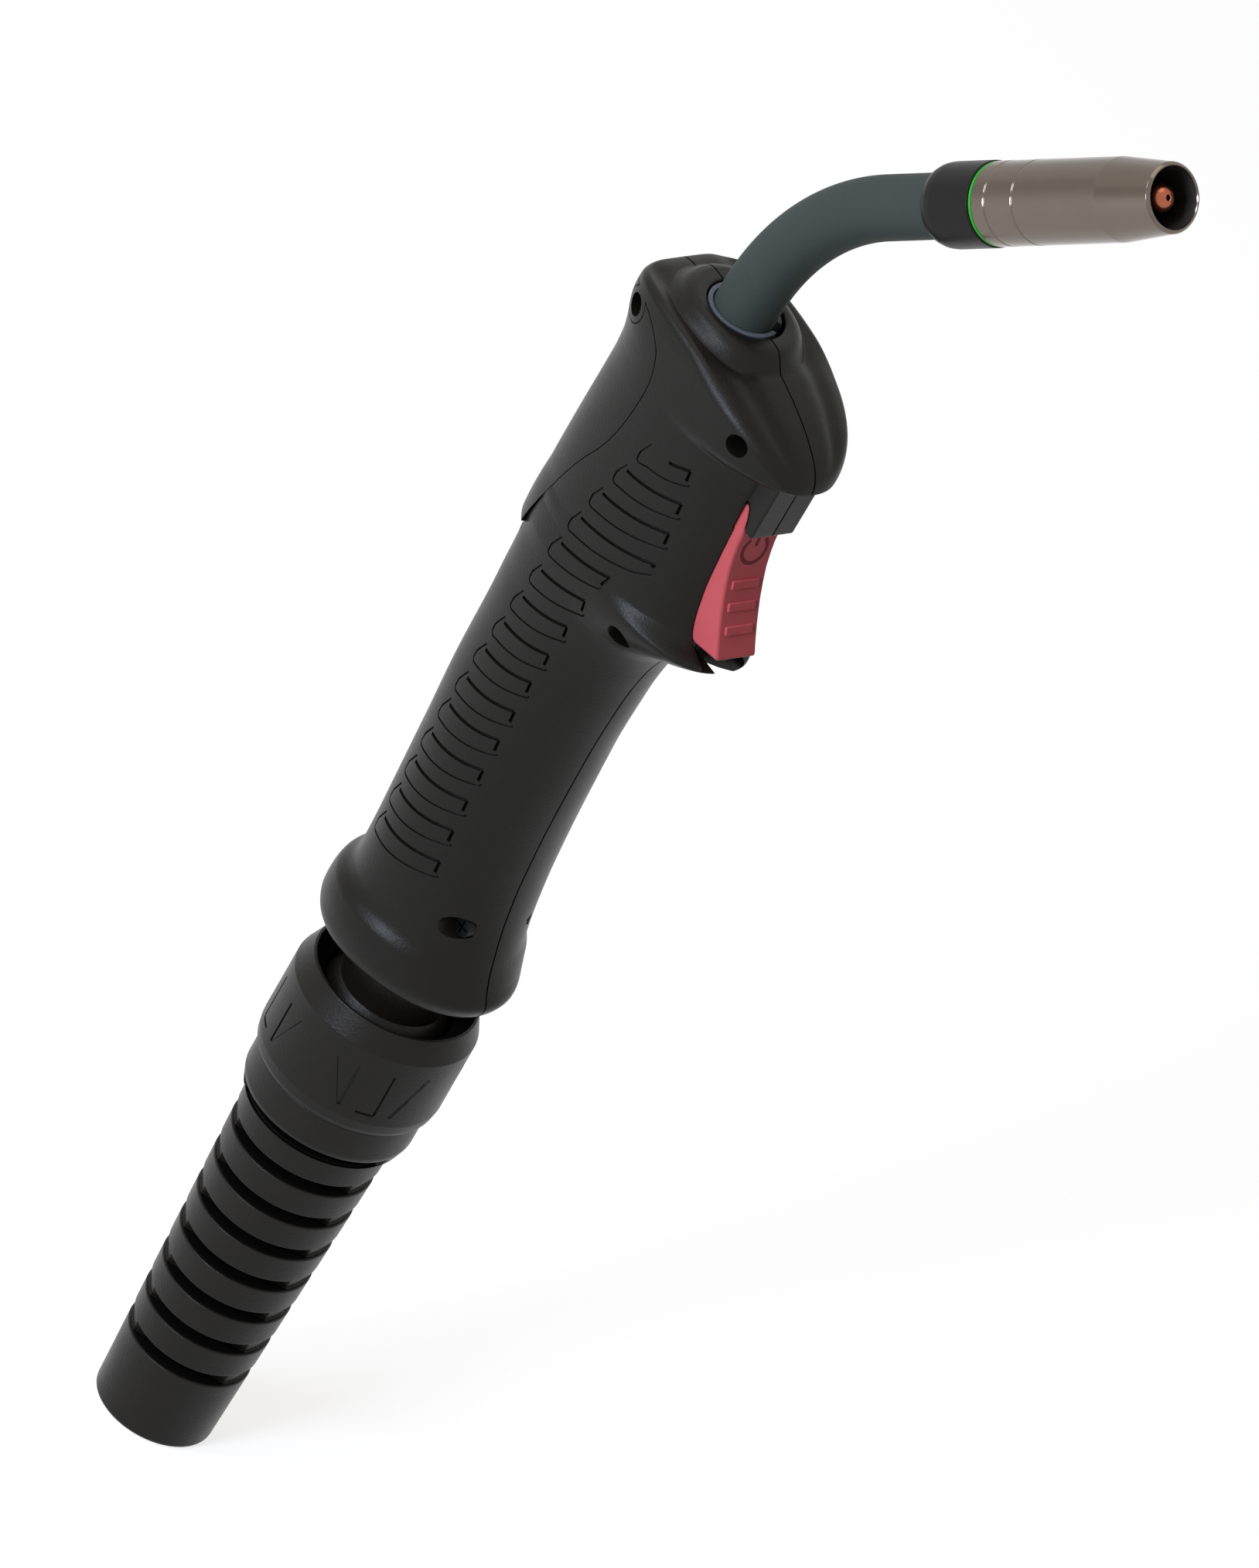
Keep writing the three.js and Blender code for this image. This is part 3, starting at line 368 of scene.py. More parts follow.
def turned_mesh(profile: Profile, steps: int = 96, arc: float = TAU, start: float = 0.0) -> Mesh:
    """Spins a closed loop of [radius, z] about Z.

    Args:
        profile: the loop.
        steps: how many steps in the turn.
        arc: how far it turns; less than a full turn leaves two capped ends.
        start: the angle that it starts from.

    Returns:
        The closed solid.
    """
    bm = bmesh.new()
    c, s = math.cos(start), math.sin(start)
    verts = [bm.verts.new((r * c, r * s, z)) for r, z, *_ in profile]
    full = abs(arc - TAU) < 1e-6
    if full:
        edges = [bm.edges.new((a, b)) for a, b in zip(verts, verts[1:] + verts[:1])]
        geom = [*verts, *edges]
    else:
        geom = [bm.faces.new(verts)]
    bmesh.ops.spin(
        bm, geom=geom, cent=(0, 0, 0), axis=(0, 0, 1), angle=arc, steps=steps, use_merge=full, use_normal_flip=False
    )
    bmesh.ops.remove_doubles(bm, verts=bm.verts, dist=1e-5)
    return outward(bm)


def rod_mesh(radius: float, length: float, place: Matrix, sides: int = 48) -> Mesh:
    """Makes a closed rod along its own Z, centred, and moves it to its place.

    Args:
        radius: its radius.
        length: its length.
        place: its place.
        sides: how many sides it has.

    Returns:
        The rod.
    """
    bm = bmesh.new()
    bmesh.ops.create_cone(
        bm, cap_ends=True, segments=sides, radius1=radius, radius2=radius, depth=length, matrix=place
    )
    return outward(bm)


def cross_rod(x: float, z: float, radius: float, y0: float, y1: float, sides: int = 48) -> Mesh:
    """Makes a rod across the torch between y0 and y1."""
    place = Matrix.Translation((x, (y0 + y1) / 2, z)) @ Matrix.Rotation(math.pi / 2, 4, "X")
    return rod_mesh(radius, y1 - y0, place, sides)


def upright_rod(x: float, radius: float, z0: float, z1: float, sides: int = 64) -> Mesh:
    """Makes an upright rod at x between z0 and z1."""
    return rod_mesh(radius, z1 - z0, Matrix.Translation((x, 0, (z0 + z1) / 2)), sides)


def box_mesh(low: Sequence[float], high: Sequence[float]) -> Mesh:
    """Makes a box between two corners.

    Args:
        low: one corner.
        high: the other corner.

    Returns:
        The box.
    """
    bm = bmesh.new()
    size = [b - a for a, b in zip(low, high)]
    middle = [(a + b) / 2 for a, b in zip(low, high)]
    place = Matrix.Translation(middle) @ Matrix.Diagonal((*size, 1))
    bmesh.ops.create_cube(bm, size=1, matrix=place)
    return bm


def rounded(loop: Profile, steps: int = 5) -> Outline:
    """Rounds the corners of a closed loop.

    Args:
        loop: the corners as [a, b] or [a, b, radius].
        steps: points in each rounded corner.

    Returns:
        The loop with each corner that has a radius turned to an arc.
    """
    made: Outline = []
    count = len(loop)
    for i, corner in enumerate(loop):
        here = Vector(corner[:2])
        radius = corner[2] if len(corner) > 2 else 0.0
        if not radius:
            made.append(tuple(here))
            continue
        before, after = Vector(loop[i - 1][:2]) - here, Vector(loop[(i + 1) % count][:2]) - here
        half = before.angle(after) / 2
        reach = min(radius / math.tan(half), before.length * 0.48, after.length * 0.48)
        start, end = here + before.normalized() * reach, here + after.normalized() * reach
        for k in range(steps + 1):
            t = k / steps
            weight = 2 * t * (1 - t) * (0.85 if half > math.pi / 5 else 1.0)
            ends = start * (1 - t) ** 2 + end * t**2
            total = (1 - t) ** 2 + t**2 + weight
            made.append(tuple((ends + here * weight) / total))
    return made


def joined(parts: Iterable[Mesh]) -> Mesh:
    """Puts several meshes into one and frees them.

    Args:
        parts: the meshes.

    Returns:
        The one mesh.
    """
    whole = bmesh.new()
    for part in parts:
        kept = bpy.data.meshes.new("part")
        part.to_mesh(kept)
        part.free()
        whole.from_mesh(kept)
        bpy.data.meshes.remove(kept)
    return whole


def linked(name: str, data: bpy.types.ID) -> Thing:
    """Puts a mesh, a lamp or a camera into the scene.

    Args:
        name: the object's name.
        data: what it shows.

    Returns:
        The object.
    """
    made = bpy.data.objects.new(name, data)
    bpy.context.scene.collection.objects.link(made)
    return made


def tool(bm: Mesh, name: str = "tool") -> Thing:
    """Turns a mesh in millimetres to an object in metres and frees it.

    Args:
        bm: the mesh.
        name: the object's name.

    Returns:
        The object.
    """
    bmesh.ops.scale(bm, verts=bm.verts, vec=(MM, MM, MM))
    bmesh.ops.triangulate(bm, faces=[f for f in bm.faces if len(f.verts) > 4])
    mesh = bpy.data.meshes.new(name)
    bm.to_mesh(mesh)
    bm.free()
    return linked(name, mesh)


def carve(target: Thing, how: Cut, *tools: Mesh | Thing, keep: bool = False) -> Thing:
    """Carves an object with closed tools, one after the other.

    Args:
        target: the object whose mesh changes.
        how: what each tool does.
        tools: meshes in millimetres, or objects in their place.
        keep: leaves the tools in the scene for another piece.

    Returns:
        The target.
    """
    others = [tool(part) if isinstance(part, Mesh) else part for part in tools]
    for other in others:
        step = target.modifiers.new("carve", "BOOLEAN")
        step.operation, step.solver, step.object = how.value, "MANIFOLD", other
    view = bpy.context.evaluated_depsgraph_get()
    view.update()
    mesh = bpy.data.meshes.new_from_object(target.evaluated_get(view))
    old, target.data = target.data, mesh
    target.modifiers.clear()
    bpy.data.meshes.remove(old)
    if not keep:
        discard(*others)
    return target


@dataclass(frozen=True)
class Faces:
    """The faces of a piece: their middles in millimetres and their normals, one row each."""

    middles: np.ndarray
    normals: np.ndarray

    @property
    def radius(self) -> np.ndarray:
        """Gives how far each face lies from the Z axis."""
        return np.hypot(self.middles[:, 0], self.middles[:, 1])

    @property
    def outward(self) -> np.ndarray:
        """Gives how far each normal points away from the Z axis, times the radius."""
        return (self.middles[:, :2] * self.normals[:, :2]).sum(1)


def paint_shade_inside(piece: Thing, finish: Finish, test: Callable[[Faces], np.ndarray]) -> None:
    """Gives some faces of a dressed piece a second, darker finish: painted shade in its hollows.

    Args:
        piece: the piece.
        finish: the second finish, which paints the shade.
        test: tells which faces take it.
    """
    mesh = piece.data
    mesh.materials.append(finish.material())
    middles, normals = np.empty(3 * len(mesh.polygons)), np.empty(3 * len(mesh.polygons))
    mesh.polygons.foreach_get("center", middles)
    mesh.polygons.foreach_get("normal", normals)
    chosen = test(Faces(middles.reshape(-1, 3) / MM, normals.reshape(-1, 3)))
    mesh.polygons.foreach_set("material_index", chosen.astype(np.int32))


def ribbon(line: Sequence[Sequence[float]], width: float) -> Outline:
    """Draws the outline of a band along an open line.

    Args:
        line: the middle of the band.
        width: how wide the band is.

    Returns:
        The closed outline.
    """
    way = np.array([a for i, a in enumerate(line) if i == 0 or math.dist(a, line[i - 1]) > 1e-3])
    along = np.gradient(way, axis=0)
    aside = np.stack([-along[:, 1], along[:, 0]], -1) / np.linalg.norm(along, axis=1)[:, None] * width / 2
    return [(float(a), float(b)) for a, b in (*(way + aside), *(way - aside)[::-1])]


def discard(*objects: Thing) -> None:
    """Removes objects and their meshes."""
    for thing in objects:
        mesh = thing.data
        bpy.data.objects.remove(thing)
        if mesh.users == 0:
            bpy.data.meshes.remove(mesh)


def copied(thing: Thing) -> Thing:
    """Copies an object with its own mesh."""
    return linked(thing.name, thing.data.copy())


@dataclass(frozen=True)
class Fitting:
    """How a finished piece belongs to the model."""

    name: str
    finish: Finish
    slot: Slot
    body: Body = Body.HANDLE
    replaces: tuple[str, ...] = ()
    sharp: float = 32.0  # angle in degrees from which an edge stays sharp

    def dress(self, piece: Thing) -> Thing:
        """Names, shades and fits a piece.

        Args:
            piece: the object, in metres, in its place.

        Returns:
            The same object.
        """
        piece.name = piece.data.name = self.name
        piece.data.materials.clear()
        piece.data.materials.append(self.finish.material())
        piece.data.shade_smooth()
        piece.data.set_sharp_from_angle(angle=math.radians(self.sharp))
        level = piece.modifiers.new("even_shading", "WEIGHTED_NORMAL")
        level.keep_sharp = True
        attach(piece, self.body.value)
        if self.replaces:
            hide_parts(*self.replaces)
        count = len(piece.data.polygons)
        LOG.info("%s: %d faces, %s, rides on %s", self.name, count, self.finish.name, self.body.value)
        return piece

    def make(self, bm: Mesh, place: Matrix | None = None) -> Thing:
        """Turns a mesh in millimetres to the finished piece.

        Args:
            bm: the mesh, which is freed.
            place: moves the mesh to its place first.

        Returns:
            The piece.
        """
        if place is not None:
            bmesh.ops.transform(bm, matrix=place, verts=bm.verts)
        return self.dress(tool(bm, self.name))


class SmoothTable:
    """Rows of values against one running size, joined by curves that never overshoot."""

    def __init__(self, rows: Sequence[Sequence[float]]) -> None:
        """Sets up the curve.

        Args:
            rows: the running size and its values, in any order.
        """
        data = np.array(sorted(rows, key=lambda row: row[0]), float)
        self.at, self.values = data[:, 0], data[:, 1:]
        step = np.diff(self.at)[:, None]
        rise = np.diff(self.values, axis=0) / step
        self.slopes = np.zeros_like(self.values)
        self.slopes[0], self.slopes[-1] = rise[0], rise[-1]
        w1, w2 = 2 * step[1:] + step[:-1], step[1:] + 2 * step[:-1]
        a, b = rise[:-1], rise[1:]
        same = a * b > 0
        safe_a, safe_b = np.where(same, a, 1), np.where(same, b, 1)
        self.slopes[1:-1] = np.where(same, (w1 + w2) / (w1 / safe_a + w2 / safe_b), 0)

    def __call__(self, where: np.ndarray) -> np.ndarray:
        """Reads the curve.

        Args:
            where: places along the running size.

        Returns:
            One more axis at the end, with the values.
        """
        x = np.clip(np.asarray(where, float), self.at[0], self.at[-1])
        i = np.clip(np.searchsorted(self.at, x) - 1, 0, len(self.at) - 2)
        h = (self.at[i + 1] - self.at[i])[..., None]
        t = ((x - self.at[i])[..., None]) / h
        p0, p1, m0, m1 = self.values[i], self.values[i + 1], self.slopes[i], self.slopes[i + 1]
        t2, t3 = t * t, t * t * t
        return (2 * t3 - 3 * t2 + 1) * p0 + (t3 - 2 * t2 + t) * h * m0 + (3 * t2 - 2 * t3) * p1 + (t3 - t2) * h * m1


def wrapped_mesh(points: np.ndarray) -> Mesh:
    """Wraps a grid round a body and caps its two ends.

    Args:
        points: rows x around x 3, in millimetres, from the foot up.

    Returns:
        The closed skin.
    """
    rows, around = points.shape[:2]
    bm = bmesh.new()
    bmesh.ops.create_grid(bm, x_segments=around, y_segments=rows - 1, size=1)
    for vert in bm.verts:
        i = round((vert.co.y + 1) / 2 * (rows - 1))
        j = round((vert.co.x + 1) / 2 * around) % around
        vert.co = points[i, j]
    bmesh.ops.remove_doubles(bm, verts=bm.verts, dist=1e-6)
    bmesh.ops.holes_fill(bm, edges=[e for e in bm.edges if e.is_boundary], sides=0)
    return outward(bm)


# ---------------------------------------------------------------- handle
@dataclass(frozen=True)
class Pad:
    """One grip pad as seen from the side; its sizes are in x and z, and its parts start from its two ends."""

    right: Spot  # top right corner
    left: Spot  # lower left end
    foot: Spot = (0.3, -4.9)  # lower right corner, from the top right one
    start: Spot = (3.2, 0.4)  # where the lower edge begins, from the left end
    tail: tuple[Spot, ...] = ((1.1, 1.0), (0.6, 0.25))  # end of the lower edge, from the foot
    skip: int = 0  # points that the top edge leaves out at its left end
    end_share: float = 0.72  # how much of the right end is engraved
    sag: float = 0.6
    nose: Profile = ((-0.4, -0.3, 2.4), (-0.5, 2.9, 1.5), (1.4, 7.2, 0))  # the left end with its radii
    top: Spot = (2.1, 5.8)  # where the top edge begins, from the left end

    def bowed(self, a: Sequence[float], b: Sequence[float], count: int = 9) -> Outline:
        """Joins two points by a line that sags a little in its middle."""
        share = np.linspace(0, 1, count)
        return [(a[0] + (b[0] - a[0]) * t, a[1] + (b[1] - a[1]) * t - 4 * self.sag * t * (1 - t)) for t in share]

    def lines(self) -> tuple[Outline, ...]:
        """Draws the engraved lines.

        Returns:
            The thin line round the foot and the nose, the bold top edge and the bold right end, as [x, z].
        """
        (xr, zr), (xl, zl) = self.right, self.left
        foot = (xr + self.foot[0], zr + self.foot[1])
        tail = [(foot[0] + x, foot[1] + z) for x, z in self.tail]
        rim = tail + self.bowed(foot, (xl + self.start[0], zl + self.start[1]))
        corner = [(*rim[-1], 0), *((xl + x, zl + z, radius) for x, z, radius in self.nose)]
        top = self.bowed((xl + self.top[0], zl + self.top[1]), self.right)[self.skip :]
        end = [self.right, (xr + self.foot[0] * self.end_share, zr + self.foot[1] * self.end_share)]
        return rim + rounded(corner, 6)[1:], top, end


@dataclass
class Handle:
    """The two shells and the back cover."""

    wall: float = 2.6
    seam: float = 0.55
    clearance: float = 0.3
    centre: float = -4.0
    around: int = 320
    room_around: int = 96
    ridge_radius: float = 2.6
    ridge_ends: float = 1.2  # the ridge's radius at the front and the back
    ridge_span: Spot = (108.0, 143.0)  # heights between which the side turns over
    pad_cuts: tuple[Spot, ...] = ((0.55, 0.6), (1.0, 1.1), (0.85, 1.1))  # width, depth
    pad_span: tuple[float, float, float] = (-50, 118, 0.75)  # first height, last height, step
    neck_x: float = -9.9
    mouth_radius: float = 10.95
    mouth_shift: float = 0.3
    mouth_lip: float = 0.9
    mouth_floor: float = 139.8
    bush_radius: float = 10.3
    bush_foot: float = 123.6
    boss_x: float = -10.2
    boss_long: float = 20.6
    boss_wide: float = 17.8
    boss_power: float = 2.1
    boss_blend: float = 2.4
    valley: float = 0.8
    valley_at: float = 0.66  # share of the way from the middle to the ridge
    valley_wide: float = 0.17
    slot_half: float = 7.35
    hood_half: float = 7.5
    hood_soft: float = 0.7
    cheek_span: Spot = (6.3, 7.8)
    pin: Spot = (22.6, 107.6)
    pin_bore: float = 1.7
    pin_reach: float = 10.7
    pin_post: float = 3.5
    screw_hole: float = 3.1
    screw_bore: float = 1.7
    screw_tip: float = 12.5
    screw_plane: float = -8.4
    post_wall: float = 1.6
    stem_hole: float = 14.8
    inner_foot: float = -69.6
    room_front: Spot = (122.0, 29.0)  # below this height the room reaches no further forward
    room_top: float = 138.4
    split: float = 118.0  # above this the rows follow the ridge
    across: float = 40.0  # reach of a tool that goes right through
    # z, back, front, half width, squareness of the back and of the front
    levels: Profile = (
        (-73, -26.2, 25.4, 23.8, 2, 2), (-72.7, -27.4, 26.6, 25, 2, 2), (-72.1, -28.3, 27.5, 25.6, 2, 2),
        (-71.2, -29, 28.2, 26.1, 2, 2), (-68.4, -29.9, 29.2, 26.8, 2, 2), (-64, -29.7, 27.1, 27.2, 2, 2),
        (-60, -29, 25.3, 26.9, 2, 2), (-58.3, -28.2, 24.7, 26.1, 2, 2), (-57, -27.3, 24.3, 25.3, 2, 2),
        (-55.6, -26.3, 23.9, 24.8, 2, 2), (-53.6, -25.6, 23.3, 24.4, 2, 2), (-50, -25.5, 22.3, 24.3, 2, 2),
        (-44.8, -25.7, 21.1, 24.3, 2, 2), (-31.4, -26.9, 19.1, 24.1, 2, 2), (-11.2, -29, 17.8, 23.4, 2, 2),
        (11.2, -31.2, 17.4, 22.3, 2.05, 2), (31.4, -32, 18.2, 21.4, 2.1, 2.1), (43.7, -32.4, 20, 21.2, 2.2, 2.1),
        (50.4, -32.7, 22.2, 21.4, 2.2, 2.1), (54, -33, 24.6, 21.5, 2.2, 2.1), (57, -33.4, 28.2, 21.6, 2.2, 2.2),
        (60, -33.9, 33, 21.7, 2.25, 2.35), (62.5, -34.2, 37.4, 21.8, 2.3, 2.45), (64.2, -34.5, 40, 21.8, 2.3, 2.5),
        (65, -34.6, 41.2, 21.8, 2.3, 2.5), (65.6, -34.7, 41.8, 21.8, 2.3, 2.5), (66.6, -34.8, 41.6, 21.8, 2.3, 2.5),
        (67.4, -34.9, 39.9, 21.8, 2.3, 2.45), (68.2, -35, 37.7, 21.8, 2.3, 2.4), (69.2, -35, 35.8, 21.8, 2.3, 2.3),
        (70.6, -35.1, 34.2, 21.8, 2.35, 2.2), (72.4, -35.2, 33, 21.8, 2.4, 2.2),
        (75, -35.4, 32.1, 21.8, 2.3, 2.15), (80, -35.4, 30.9, 21.9, 2.3, 2.1), (86, -35.4, 29.8, 21.9, 2.3, 2.1),
        (113, -35.4, 28.2, 22, 2.2, 2.1), (121, -35.6, 29, 22, 2.3, 2.1), (123.6, -35.8, 35.6, 22, 2.4, 2.2),
        (125.6, -36, 38.1, 22, 2.5, 2.25), (136, -36.8, 38.3, 22, 3.2, 2.3), (143, -36.6, 38.3, 21.6, 3.2, 2.3),
    )
    # back cover near its lip: z, back, squareness
    lip: Profile = (
        (52, -33, 2.2), (56.4, -33, 2.2), (56.8, -34.6, 2.35), (58.2, -35.1, 2.4), (66, -35.4, 2.4), (75, -35.4, 2.3),
    )
    # middle of the crown: x, z
    crown_line: Profile = (
        (-38.5, 134), (-37, 137.6), (-36, 139.6), (-34.3, 141), (-31, 141.7), (-24, 141.9), (4, 141.8),
        (10, 141.5), (16.1, 140), (23.6, 137.4), (30.2, 134.2), (35, 130.7), (37.2, 127.4), (38.2, 124.6), (39, 121),
    )
    # top of the ridge along each side: x, y, z
    ridge_line: Profile = (
        (-39, 18, 133), (-37, 19.4, 139.2), (-35, 20, 141.2), (-30.6, 20.4, 142.2), (-23, 20.6, 142.8),
        (-11.6, 20.4, 142.5), (-2.2, 19.6, 141.8), (7.4, 18.3, 140.3), (17.7, 16.8, 137.8), (25.7, 14.6, 135),
        (30.6, 12.6, 132.4), (35, 9.1, 129), (37.5, 5, 126), (39, 2, 121),
    )
    # neck boss: share of its outline, z
    boss_line: Profile = (
        (0, 146.3), (0.7, 146.3), (0.78, 145.9), (0.85, 144.9), (0.9, 143.6), (0.95, 142), (1.0, 139.6),
        (1.08, 133), (3, 40),
    )
    pads: tuple[Pad, ...] = (
        Pad((14.2, 113.7), (0.2, 104.4), start=(3.6, 1.2), skip=4), Pad((16.2, 103.7), (-3.2, 94.0)),
        Pad((17.2, 94.0), (-6.2, 82.9)), Pad((18.3, 83.8), (-8.4, 72.2), (-3.6, -5.6), tail=((4, 2.5),), end_share=0.2),
        Pad((10.2, 72.1), (-10.0, 61.6), (-1.4, -4.9)), Pad((7.5, 61.3), (-11.4, 50.4)),
        Pad((5.8, 50.2), (-12.8, 39.6)), Pad((5.0, 39.3), (-13.9, 29.2)), Pad((4.6, 29.1), (-14.8, 18.7)),
        Pad((4.8, 18.8), (-15.2, 8.2)), Pad((5.2, 8.9), (-15.6, -1.8)), Pad((5.7, -1.4), (-15.8, -12.2)),
        Pad((6.3, -11.7), (-15.8, -22.2)), Pad((7.1, -21.7), (-15.5, -32.0)), Pad((8.2, -31.9), (-15.0, -41.6)),
    )
    screws: tuple[Spot, ...] = ((22.5, 130.6), (19.6, 59.6), (17.6, -47.6), (-26.6, 134.3))
    cover_line: Profile = (
        (-80, 52.7), (-27.4, 52.7), (-26.4, 56.9), (-24.6, 63.8), (-22, 72.9), (-18.6, 83.4), (-15.4, 91.2),
        (-12.7, 96.9), (-10.6, 103.4), (-9.2, 111.4), (-8.7, 120.4), (-9.4, 126.2), (-11.2, 130.6),
        (-12.6, 132.4), (-14.2, 133.8), (-17.2, 135.8), (-20.8, 137.4), (-24.7, 137.9), (-80, 137.9),
    )
    # rows of the skin below the ridge: from, to, step
    bands: Profile = (
        (-73, -71.2, 0.2), (-71.2, -48, 0.6), (-48, 48, 0.8), (48, 56.5, 0.5), (56.5, 57.4, 0.1),
        (57.4, 64, 0.4), (64, 71, 0.2), (71, 118, 0.7),
    )
    # side views, as x, z: the hood over the trigger's tip, the pockets in it and the trigger's slot
    hood_line: Profile = ((20, 110.5), (27, 110.5), (30.2, 105.9), (33.2, 105.9), (33.6, 127.6), (20, 127.6))
    cheek_line: Profile = ((20, 104), (31.5, 104), (29.8, 109.2), (28.6, 112.4), (27.4, 113.4), (20, 113.4))
    slot_line: Profile = ((17.5, 65.8), (60, 65.8), (60, 105), (30.5, 105), (27.3, 110.7), (26.4, 112.5), (18, 112.5))
    guard_gap: tuple[Sequence[float], ...] = ((29.8, -3.4, 52), (60, 3.4, 68))
    # inner tube under the mouth: radii and heights
    mouth_tube: Profile = ((10.6, 129.8), (13.2, 129.8), (13.2, 150), (10.6, 150))
    # ribs for the guard, the switch, the receiver and the ball's flange: low corner, high corner
    slabs: tuple[tuple[Sequence[float], ...], ...] = (
        ((4, -40, 76.3), (60, 40, 78.9)), ((4, -40, 99.2), (60, 40, 101.8)), ((-60, -40, 96.1), (4, 40, 98.7)),
        ((-60, -40, 118.3), (4, 40, 120.9)), ((-60, -40, -66), (60, 40, -63.4)),
        ((13.1, -3.6, 69.4), (16.7, 3.6, 78.8)), ((7.1, -6, 77.9), (9.2, 6, 99.9)),
    )
    # room in the ribs for the plunger and the trigger
    slab_cuts: tuple[tuple[Sequence[float], ...], ...] = (
        ((9.9, -4, 56), (12.7, 4, 79.2)), ((19.5, -7.65, 56), (60, 7.65, 141)),
    )
    table: SmoothTable = field(init=False)
    crown: SmoothTable = field(init=False)
    crest: SmoothTable = field(init=False)
    boss: SmoothTable = field(init=False)

    def __post_init__(self) -> None:
        """Sets up the curves through the tables."""
        self.table = SmoothTable(self.levels)
        self.crown = SmoothTable(self.crown_line)
        self.crest = SmoothTable(self.ridge_line)
        self.boss = SmoothTable(self.boss_line)

    def section(self, z: np.ndarray, angle: np.ndarray, inset: np.ndarray | float = 0.0) -> tuple[np.ndarray, ...]:
        """Finds the side of the handle.

        Args:
            z: heights.
            angle: directions round the handle, 0 at the front.
            inset: how far inside the surface.

        Returns:
            x and y.
        """
        back, front, half, square_back, square_front = np.moveaxis(self.table(z), -1, 0)
        c, s = np.cos(angle), np.sin(angle)
        square = np.where(c > 0, square_front, square_back)
        reach = np.where(c > 0, front - self.centre, self.centre - back)
        x = self.centre + (reach - inset) * np.sign(c) * np.abs(c) ** (2 / square)
        y = (half - inset) * np.sign(s) * np.abs(s) ** (2 / square)
        return x, y

    def crown_height(self, x: np.ndarray, y: np.ndarray) -> np.ndarray:
        """Gives the height of the crown without the neck boss.

        Args:
            x: places along the torch's side view.
            y: places across.

        Returns:
            The heights.
        """
        side, high = np.moveaxis(self.crest(x), -1, 0)
        middle = self.crown(x)[..., 0]
        share = np.clip(np.abs(y) / side, 0, 1.2)
        hollow = self.valley * np.exp(-(((share - self.valley_at) / self.valley_wide) ** 2))
        hollow = hollow * np.clip((side - 8) / 6, 0, 1)  # fades out where the ridges close in
        return middle + (high - middle) * share**3 - hollow

    def top(self, x: np.ndarray, y: np.ndarray) -> np.ndarray:
        """Gives the height of the crown with the neck boss blended into it.

        Args:
            x: places along the torch's side view.
            y: places across.

        Returns:
            The heights.
        """
        share = np.abs((x - self.boss_x) / self.boss_long) ** self.boss_power
        share = (share + np.abs(y / self.boss_wide) ** self.boss_power) ** (1 / self.boss_power)
        low, high = self.crown_height(x, y), self.boss(share)[..., 0]
        blend = self.boss_blend
        near = np.clip(blend - np.abs(low - high), 0, None) / blend
        return np.maximum(low, high) + near**2 * blend / 4

    def ridge(self, angle: np.ndarray, inset: float) -> tuple[np.ndarray, ...]:
        """Finds where the side turns over into the crown.

        Args:
            angle: directions round the handle.
            inset: how far inside the surface.

        Returns:
            The radius of the turn and the height where it starts.
        """
        radius = self.ridge_ends + (self.ridge_radius - self.ridge_ends) * np.abs(np.sin(angle)) ** 0.8
        low, high = (np.full_like(angle, z) for z in self.ridge_span)
        for _ in range(40):
            middle = (low + high) / 2
            x, y = self.section(middle, angle, inset)
            above = self.crown_height(x, y) - inset - radius > middle
            low, high = np.where(above, middle, low), np.where(above, high, middle)
        return radius, low

    def heights(self, fine: float) -> np.ndarray:
        """Lists the heights of the rows below the ridge.

        Args:
            fine: 1 for the outer skin; larger is coarser.

        Returns:
            The heights, closer together where the outline steps.
        """
        return np.concatenate([np.arange(a, b - step * 0.3, step * fine) for a, b, step in self.bands])

    def lipped(self) -> SmoothTable:
        """Gives the table of the back cover, which stands proud of the grip at its lip.

        Returns:
            The table.
        """
        near = SmoothTable(self.lip)
        rows = []
        for z in sorted({*(row[0] for row in self.levels), *(row[0] for row in self.lip)}):
            values = self.table(np.array(z)).copy()
            if self.lip[0][0] <= z <= self.lip[-1][0]:
                values[0], values[3] = near(np.array(z))
            rows.append((z, *values))
        return SmoothTable(rows)

    def skin(self) -> np.ndarray:
        """Lays out the outer skin, up the sides, over the ridge and down into the neck's mouth.

        Returns:
            Rows x around x 3, in millimetres.
        """
        angle = np.linspace(0, TAU, self.around, endpoint=False)[None, :]
        radius, turn = self.ridge(angle, 0)
        flat = np.ones_like(angle)
        rise = (np.linspace(0, 1, 60)[:, None]) ** 0.9
        z = np.concatenate([self.heights(1)[:, None] * flat, self.split + (turn - self.split) * rise])
        x, y = self.section(z, angle)
        sides = np.stack([x, y, z], -1)
        middle = self.neck_x + self.mouth_shift
        start_x, start_y = x[-1:] - middle, y[-1:]
        way = np.arctan2(start_y, start_x)
        full = np.hypot(start_x, start_y)
        lip = self.mouth_lip
        quarter = np.linspace(0, math.pi / 2, 12)[1:, None]
        inward = radius * (1 - np.cos(quarter))
        share = np.linspace(0, 1, 56)[1:, None]
        rest = radius + (full - self.mouth_radius - lip - radius) * share
        depth = np.concatenate([inward, rest])
        drop = np.concatenate([radius * (1 - np.sin(quarter)), 0 * rest])
        cx, cy = middle + (full - depth) * np.cos(way), (full - depth) * np.sin(way)
        crown = np.stack([cx, cy, self.top(cx, cy) - drop], -1)
        edge = np.linspace(0, math.pi / 2, 6)[1:, None]
        ring = self.mouth_radius + lip * (1 - np.sin(edge)) * flat
        fall = crown[-1:, :, 2] - lip * (1 - np.cos(edge))
        well = np.concatenate([ring, np.full_like(angle, self.mouth_radius)])
        depth_z = np.concatenate([fall, np.full_like(angle, self.mouth_floor)])
        mouth = np.stack([middle + well * np.cos(way), well * np.sin(way), depth_z], -1)
        return np.concatenate([sides, crown, mouth])

